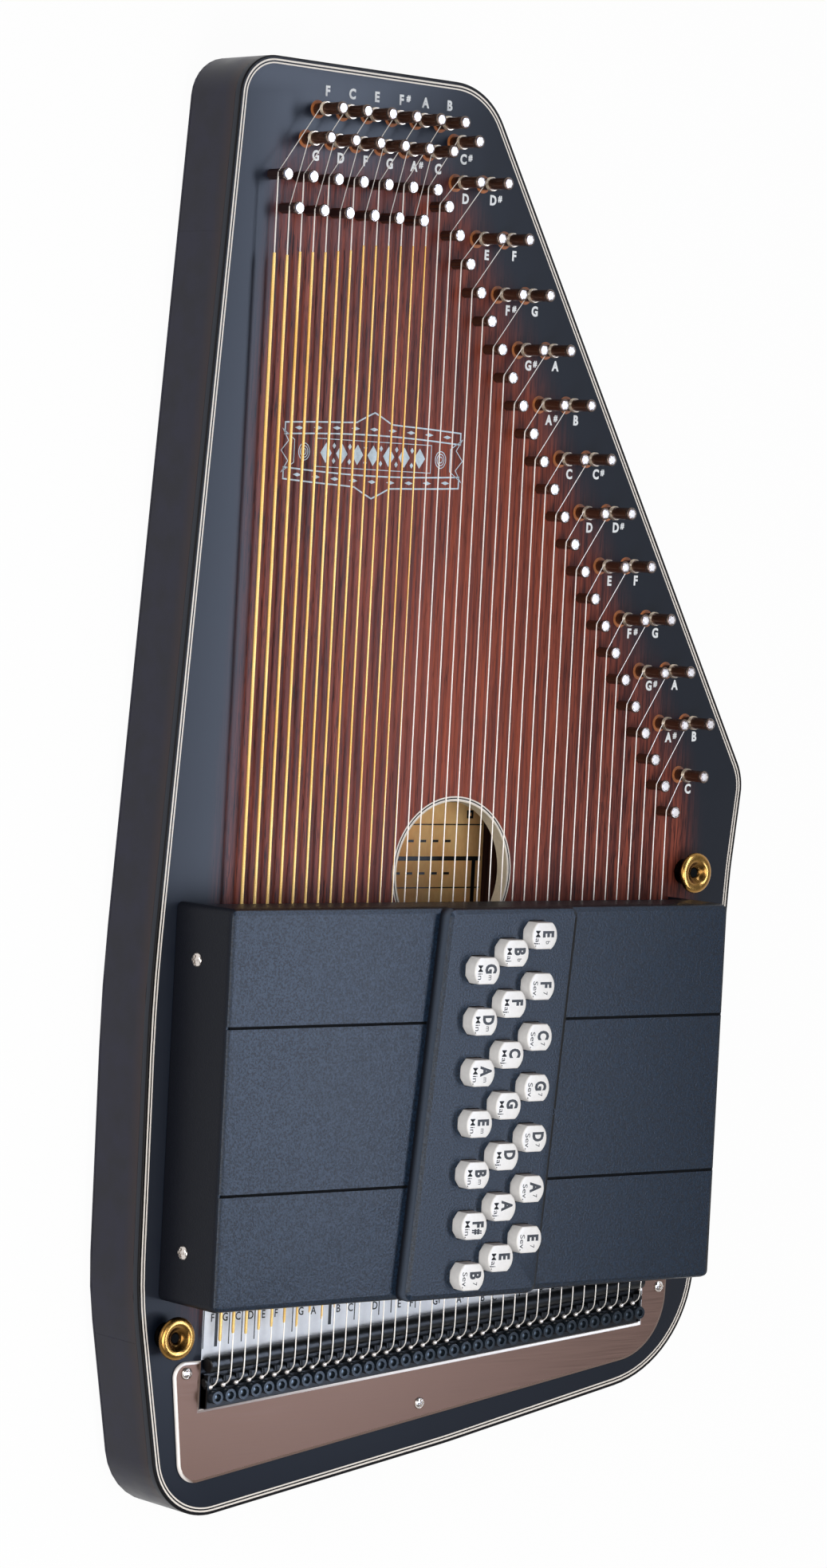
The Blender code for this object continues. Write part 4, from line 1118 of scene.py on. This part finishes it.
def label_button(index, chord, tag):
    """Root letter, its sign, and the word for the kind of chord, read from the treble side."""
    x, y = BUTTON_COLUMNS[index % 3], FIRST_BAR_Y - BAR_PITCH * index
    turn = -math.pi / 2
    top = BUTTON_TOP - 0.05
    kind = "Min." if chord.endswith("m") else "Sev." if chord.endswith("7") else "Maj."
    big = [(chord[0], x + 1.4, y + 0.8, top, 7.6, turn, 0.70)]
    little = [(kind, x - 3.9, y - 1.0, top, 3.4, turn, 1.25)]
    sign = chord[1:2]
    if sign == "#":
        big.append(("#", x + 1.4, y - 2.2, top, 6.4, turn, 0.5))
    elif sign:
        little.append((sign, x + 1.5, y - 2.7, top, 3.1, turn, 0.95))
    body = "bar_" + tag
    lettering("chord_letter_" + tag, big, FINISHES["ink"], body, 0.07, 0.05)
    lettering("chord_kind_" + tag, little, FINISHES["grey_ink"], body, 0.07, 0.004)


def make_buttons():
    for index, chord in enumerate(CHORDS):
        tag = f"{index + 1:02d}_{chord.replace('#', 's')}"
        make_button(index, tag)
        label_button(index, chord, tag)


# Ornament and strap buttons


ORNAMENT_CENTRE = Vector((-50.5, 175.0))


def painted_line(work, points, width):
    """Closed painted line of one width."""
    points = [ORNAMENT_CENTRE + Vector(p) for p in points]
    strip(work, points, width / 2, -width / 2, BOARD_TOP + 0.01, BOARD_TOP + 0.05)


def painted_patch(work, points):
    points = [ORNAMENT_CENTRE + Vector(p) for p in points]
    made = loft(work, [level(points, BOARD_TOP + 0.01), level(points, BOARD_TOP + 0.05)])
    cap(work, made[0])
    cap(work, made[1])


def lozenge(x, y, half_x, half_y):
    return [(x - half_x, y), (x, y - half_y), (x + half_x, y), (x, y + half_y)]


def banner(side):
    """Band that bows outward, with a peak in its middle: above with side 1, below with side -1."""
    outer, inner = [], []
    for k in range(13):
        x = -45.0 + 7.5 * k
        rise = 1.6 * math.cos(math.pi * x / 90)
        outer.append((x, side * (11.2 + rise)))
        inner.append((x, side * (6.6 + rise)))
    peak = [(-9.0, side * 12.9), (-4.0, side * 15.4), (0.0, side * 17.2), (4.0, side * 15.4), (9.0, side * 12.9)]
    outer = [p for p in outer if p[0] < -9.0] + peak + [p for p in outer if p[0] > 9.0]
    return outer + inner[::-1]


def make_ornament():
    """Geometric border in fine painted lines: two bowed bands round a panel of lozenges."""
    work = bmesh.new()
    for side in (1, -1):
        painted_line(work, banner(side), 0.6)
        for k in range(9):
            x = -38.0 + 9.5 * k
            rise = 1.6 * math.cos(math.pi * x / 90)
            painted_patch(work, lozenge(x, side * (8.9 + rise), 2.2, 0.75))
        painted_line(work, [(side * 46.0, -8.5), (side * 43.0, -4.0), (side * 46.5, 0.0), (side * 43.0, 4.0),
                            (side * 46.0, 8.5), (side * 40.0, 4.5), (side * 40.0, -4.5)], 0.35)
        for k in range(3):
            radius = 3.4 - 1.1 * k
            turn = [(side * 35.0 + radius * 0.8 * math.cos(math.tau * n / 20),
                     radius * math.sin(math.tau * n / 20)) for n in range(20)]
            painted_line(work, turn, 0.35)
    painted_line(work, [(-30.0, -5.6), (30.0, -5.6), (30.0, 5.6), (-30.0, 5.6)], 0.3)
    for k in range(7):
        painted_patch(work, lozenge(-24.0 + 8.0 * k, 0.0, 2.9, 4.1))
        if k < 6:
            painted_patch(work, lozenge(-20.0 + 8.0 * k, 3.0, 0.9, 1.2))
            painted_patch(work, lozenge(-20.0 + 8.0 * k, -3.0, 0.9, 1.2))
    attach(finish_mesh(work, "soundboard_ornament", FINISHES["pale_blue_paint"]), "instrument")


def make_strap_buttons():
    """Turned brass buttons: a convex ring round a bowl, with the screw's recess in the middle, its floor a black disc
    of painted shade.
    """
    low = BOARD_TOP + 0.3
    profile = [(0.0, 0.0), (5.4, 0.0), (5.4, 0.8), (4.3, 2.4), (4.9, 4.6), (6.6, 6.0), (8.2, 6.9), (8.65, 7.4),
               (8.6, 7.9), (8.2, 8.4), (7.6, 8.75), (6.9, 8.95), (6.2, 9.0), (5.5, 8.9), (4.9, 8.6),
               (4.3, 8.1), (3.6, 7.5), (2.9, 7.1), (2.2, 6.9), (1.9, 6.2)]
    for name, place in STRAPS.items():
        work = bmesh.new()
        turned(work, place, [(r, low + z) for r, z in profile], 48)
        piece = finish_mesh(work, name + "_turned", FINISHES["brass"], 60.0)
        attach(piece, "instrument")
        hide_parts(name)
        # Painted shade: a black disc on the floor of the screw's recess.
        work = bmesh.new()
        turned(work, place, [(1.95, low + 6.3), (1.9, low + 6.5), (0.7, low + 6.45)], 24)
        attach(finish_mesh(work, name + "_screw", FINISHES["shadow_line"]), "instrument")


make_soundboard()
make_lip()
make_seam_fill()
make_sound_hole()
make_interior()
make_strings()
make_tail_bars()
make_pins()
make_note_letters()
make_tuners()
make_tail_plate()
make_screws()
make_chart()
make_cover_lines()
make_buttons()
make_ornament()
make_strap_buttons()


# Stage


def make_floor():
    finish = Finish("floor_white", roughness=0.9, specular=0.1)
    finish.colour(linear(238, 238, 238))
    tree = finish.tree
    glow = finish.node("ShaderNodeEmission")
    glow.inputs["Strength"].default_value = 1.0
    rays = finish.node("ShaderNodeLightPath")
    seen = finish.maths("MAXIMUM", rays.outputs["Is Camera Ray"], rays.outputs["Is Glossy Ray"])
    share = finish.maths("MULTIPLY", seen, 0.965)
    blend = finish.node("ShaderNodeMixShader")
    finish.wire(share, blend.inputs[0])
    finish.wire(finish.shader.outputs[0], blend.inputs[1])
    finish.wire(glow.outputs[0], blend.inputs[2])
    finish.wire(blend.outputs[0], tree.nodes["Material Output"].inputs[0])
    mesh = bpy.data.meshes.new("floor")
    half = 30.0
    mesh.from_pydata([(-half, -half, 0), (half, -half, 0), (half, half, 0), (-half, half, 0)], [], [(0, 1, 2, 3)])
    mesh.materials.append(finish.material)
    floor = bpy.data.objects.new("floor", mesh)
    floor.location.z = -0.0005
    bpy.context.scene.collection.objects.link(floor)


def make_lamp(name, place, aim, size, power, colour=(1, 1, 1), sheen_only=False):
    lamp = bpy.data.lights.new(name, "AREA")
    lamp.shape = "RECTANGLE"
    lamp.size, lamp.size_y = size
    lamp.energy = power
    lamp.color = colour
    piece = bpy.data.objects.new(name, lamp)
    piece.location = place
    piece.rotation_euler = (Vector(aim) - Vector(place)).to_track_quat("-Z", "Y").to_euler()
    piece.visible_camera = False
    piece.visible_diffuse = not sheen_only
    bpy.context.scene.collection.objects.link(piece)


def make_world():
    """White all round where the camera and the reflections see it, with a greyer ceiling in reflections."""
    world = bpy.data.worlds.new("studio")
    world.use_nodes = True
    tree = world.node_tree

    def remap(source, low, high, out_low, out_high):
        made = tree.nodes.new("ShaderNodeMapRange")
        tree.links.new(source, made.inputs["Value"])
        for key, number in (("From Min", low), ("From Max", high)):
            made.inputs[key].default_value = number
        for key, number in (("To Min", out_low), ("To Max", out_high)):
            if hasattr(number, "links"):
                tree.links.new(number, made.inputs[key])
            else:
                made.inputs[key].default_value = number
        return made.outputs["Result"]

    rays = tree.nodes.new("ShaderNodeLightPath")
    way = tree.nodes.new("ShaderNodeSeparateXYZ")
    tree.links.new(tree.nodes.new("ShaderNodeTexCoord").outputs["Generated"], way.inputs[0])
    ceiling = remap(way.outputs["Z"], 0.30, 0.70, 1.0, 0.15)
    lit = remap(rays.outputs["Is Glossy Ray"], 0.0, 1.0, 0.28, ceiling)
    lit = remap(rays.outputs["Is Transmission Ray"], 0.0, 1.0, lit, 1.0)
    lit = remap(rays.outputs["Is Camera Ray"], 0.0, 1.0, lit, 1.0)
    tree.nodes["Background"].inputs["Color"].default_value = (1, 1, 1, 1)
    tree.links.new(lit, tree.nodes["Background"].inputs["Strength"])
    bpy.context.scene.world = world


def make_camera():
    data = bpy.data.cameras.new("camera")
    data.lens = 6200.0 * 36.0 / 1967.0
    data.sensor_width = 36.0
    data.clip_start, data.clip_end = 0.1, 50.0
    camera = bpy.data.objects.new("camera", data)
    columns = (
        Vector((0.77582572, 0.0505298, 0.62892065)),
        Vector((-0.00721469, 0.99743329, -0.07123753)),
        Vector((-0.63090601, 0.05073044, 0.77419896)),
    )
    turn = Matrix((columns[0], columns[1], columns[2])).transposed().to_4x4()
    camera.matrix_world = Matrix.Translation(Vector((-1293.866, 105.109, 1592.302)) * MM) @ turn
    bpy.context.scene.collection.objects.link(camera)
    bpy.context.scene.camera = camera


make_floor()
make_world()
make_lamp("key", (-0.30, -0.30, 1.15), (0, 0, 0.05), (0.5, 0.7), 7.8)
make_lamp("fill", (-1.50, 0.30, 0.80), (0, 0, 0.05), (0.8, 0.8), 8.0)
make_lamp("sheen", (0.26, 0.10, 0.58), (-0.17, 0.10, 0.04), (0.9, 0.11), 5.8, (0.66, 0.77, 1.0), sheen_only=True)
make_camera()
bpy.context.scene.view_settings.view_transform = "Standard"
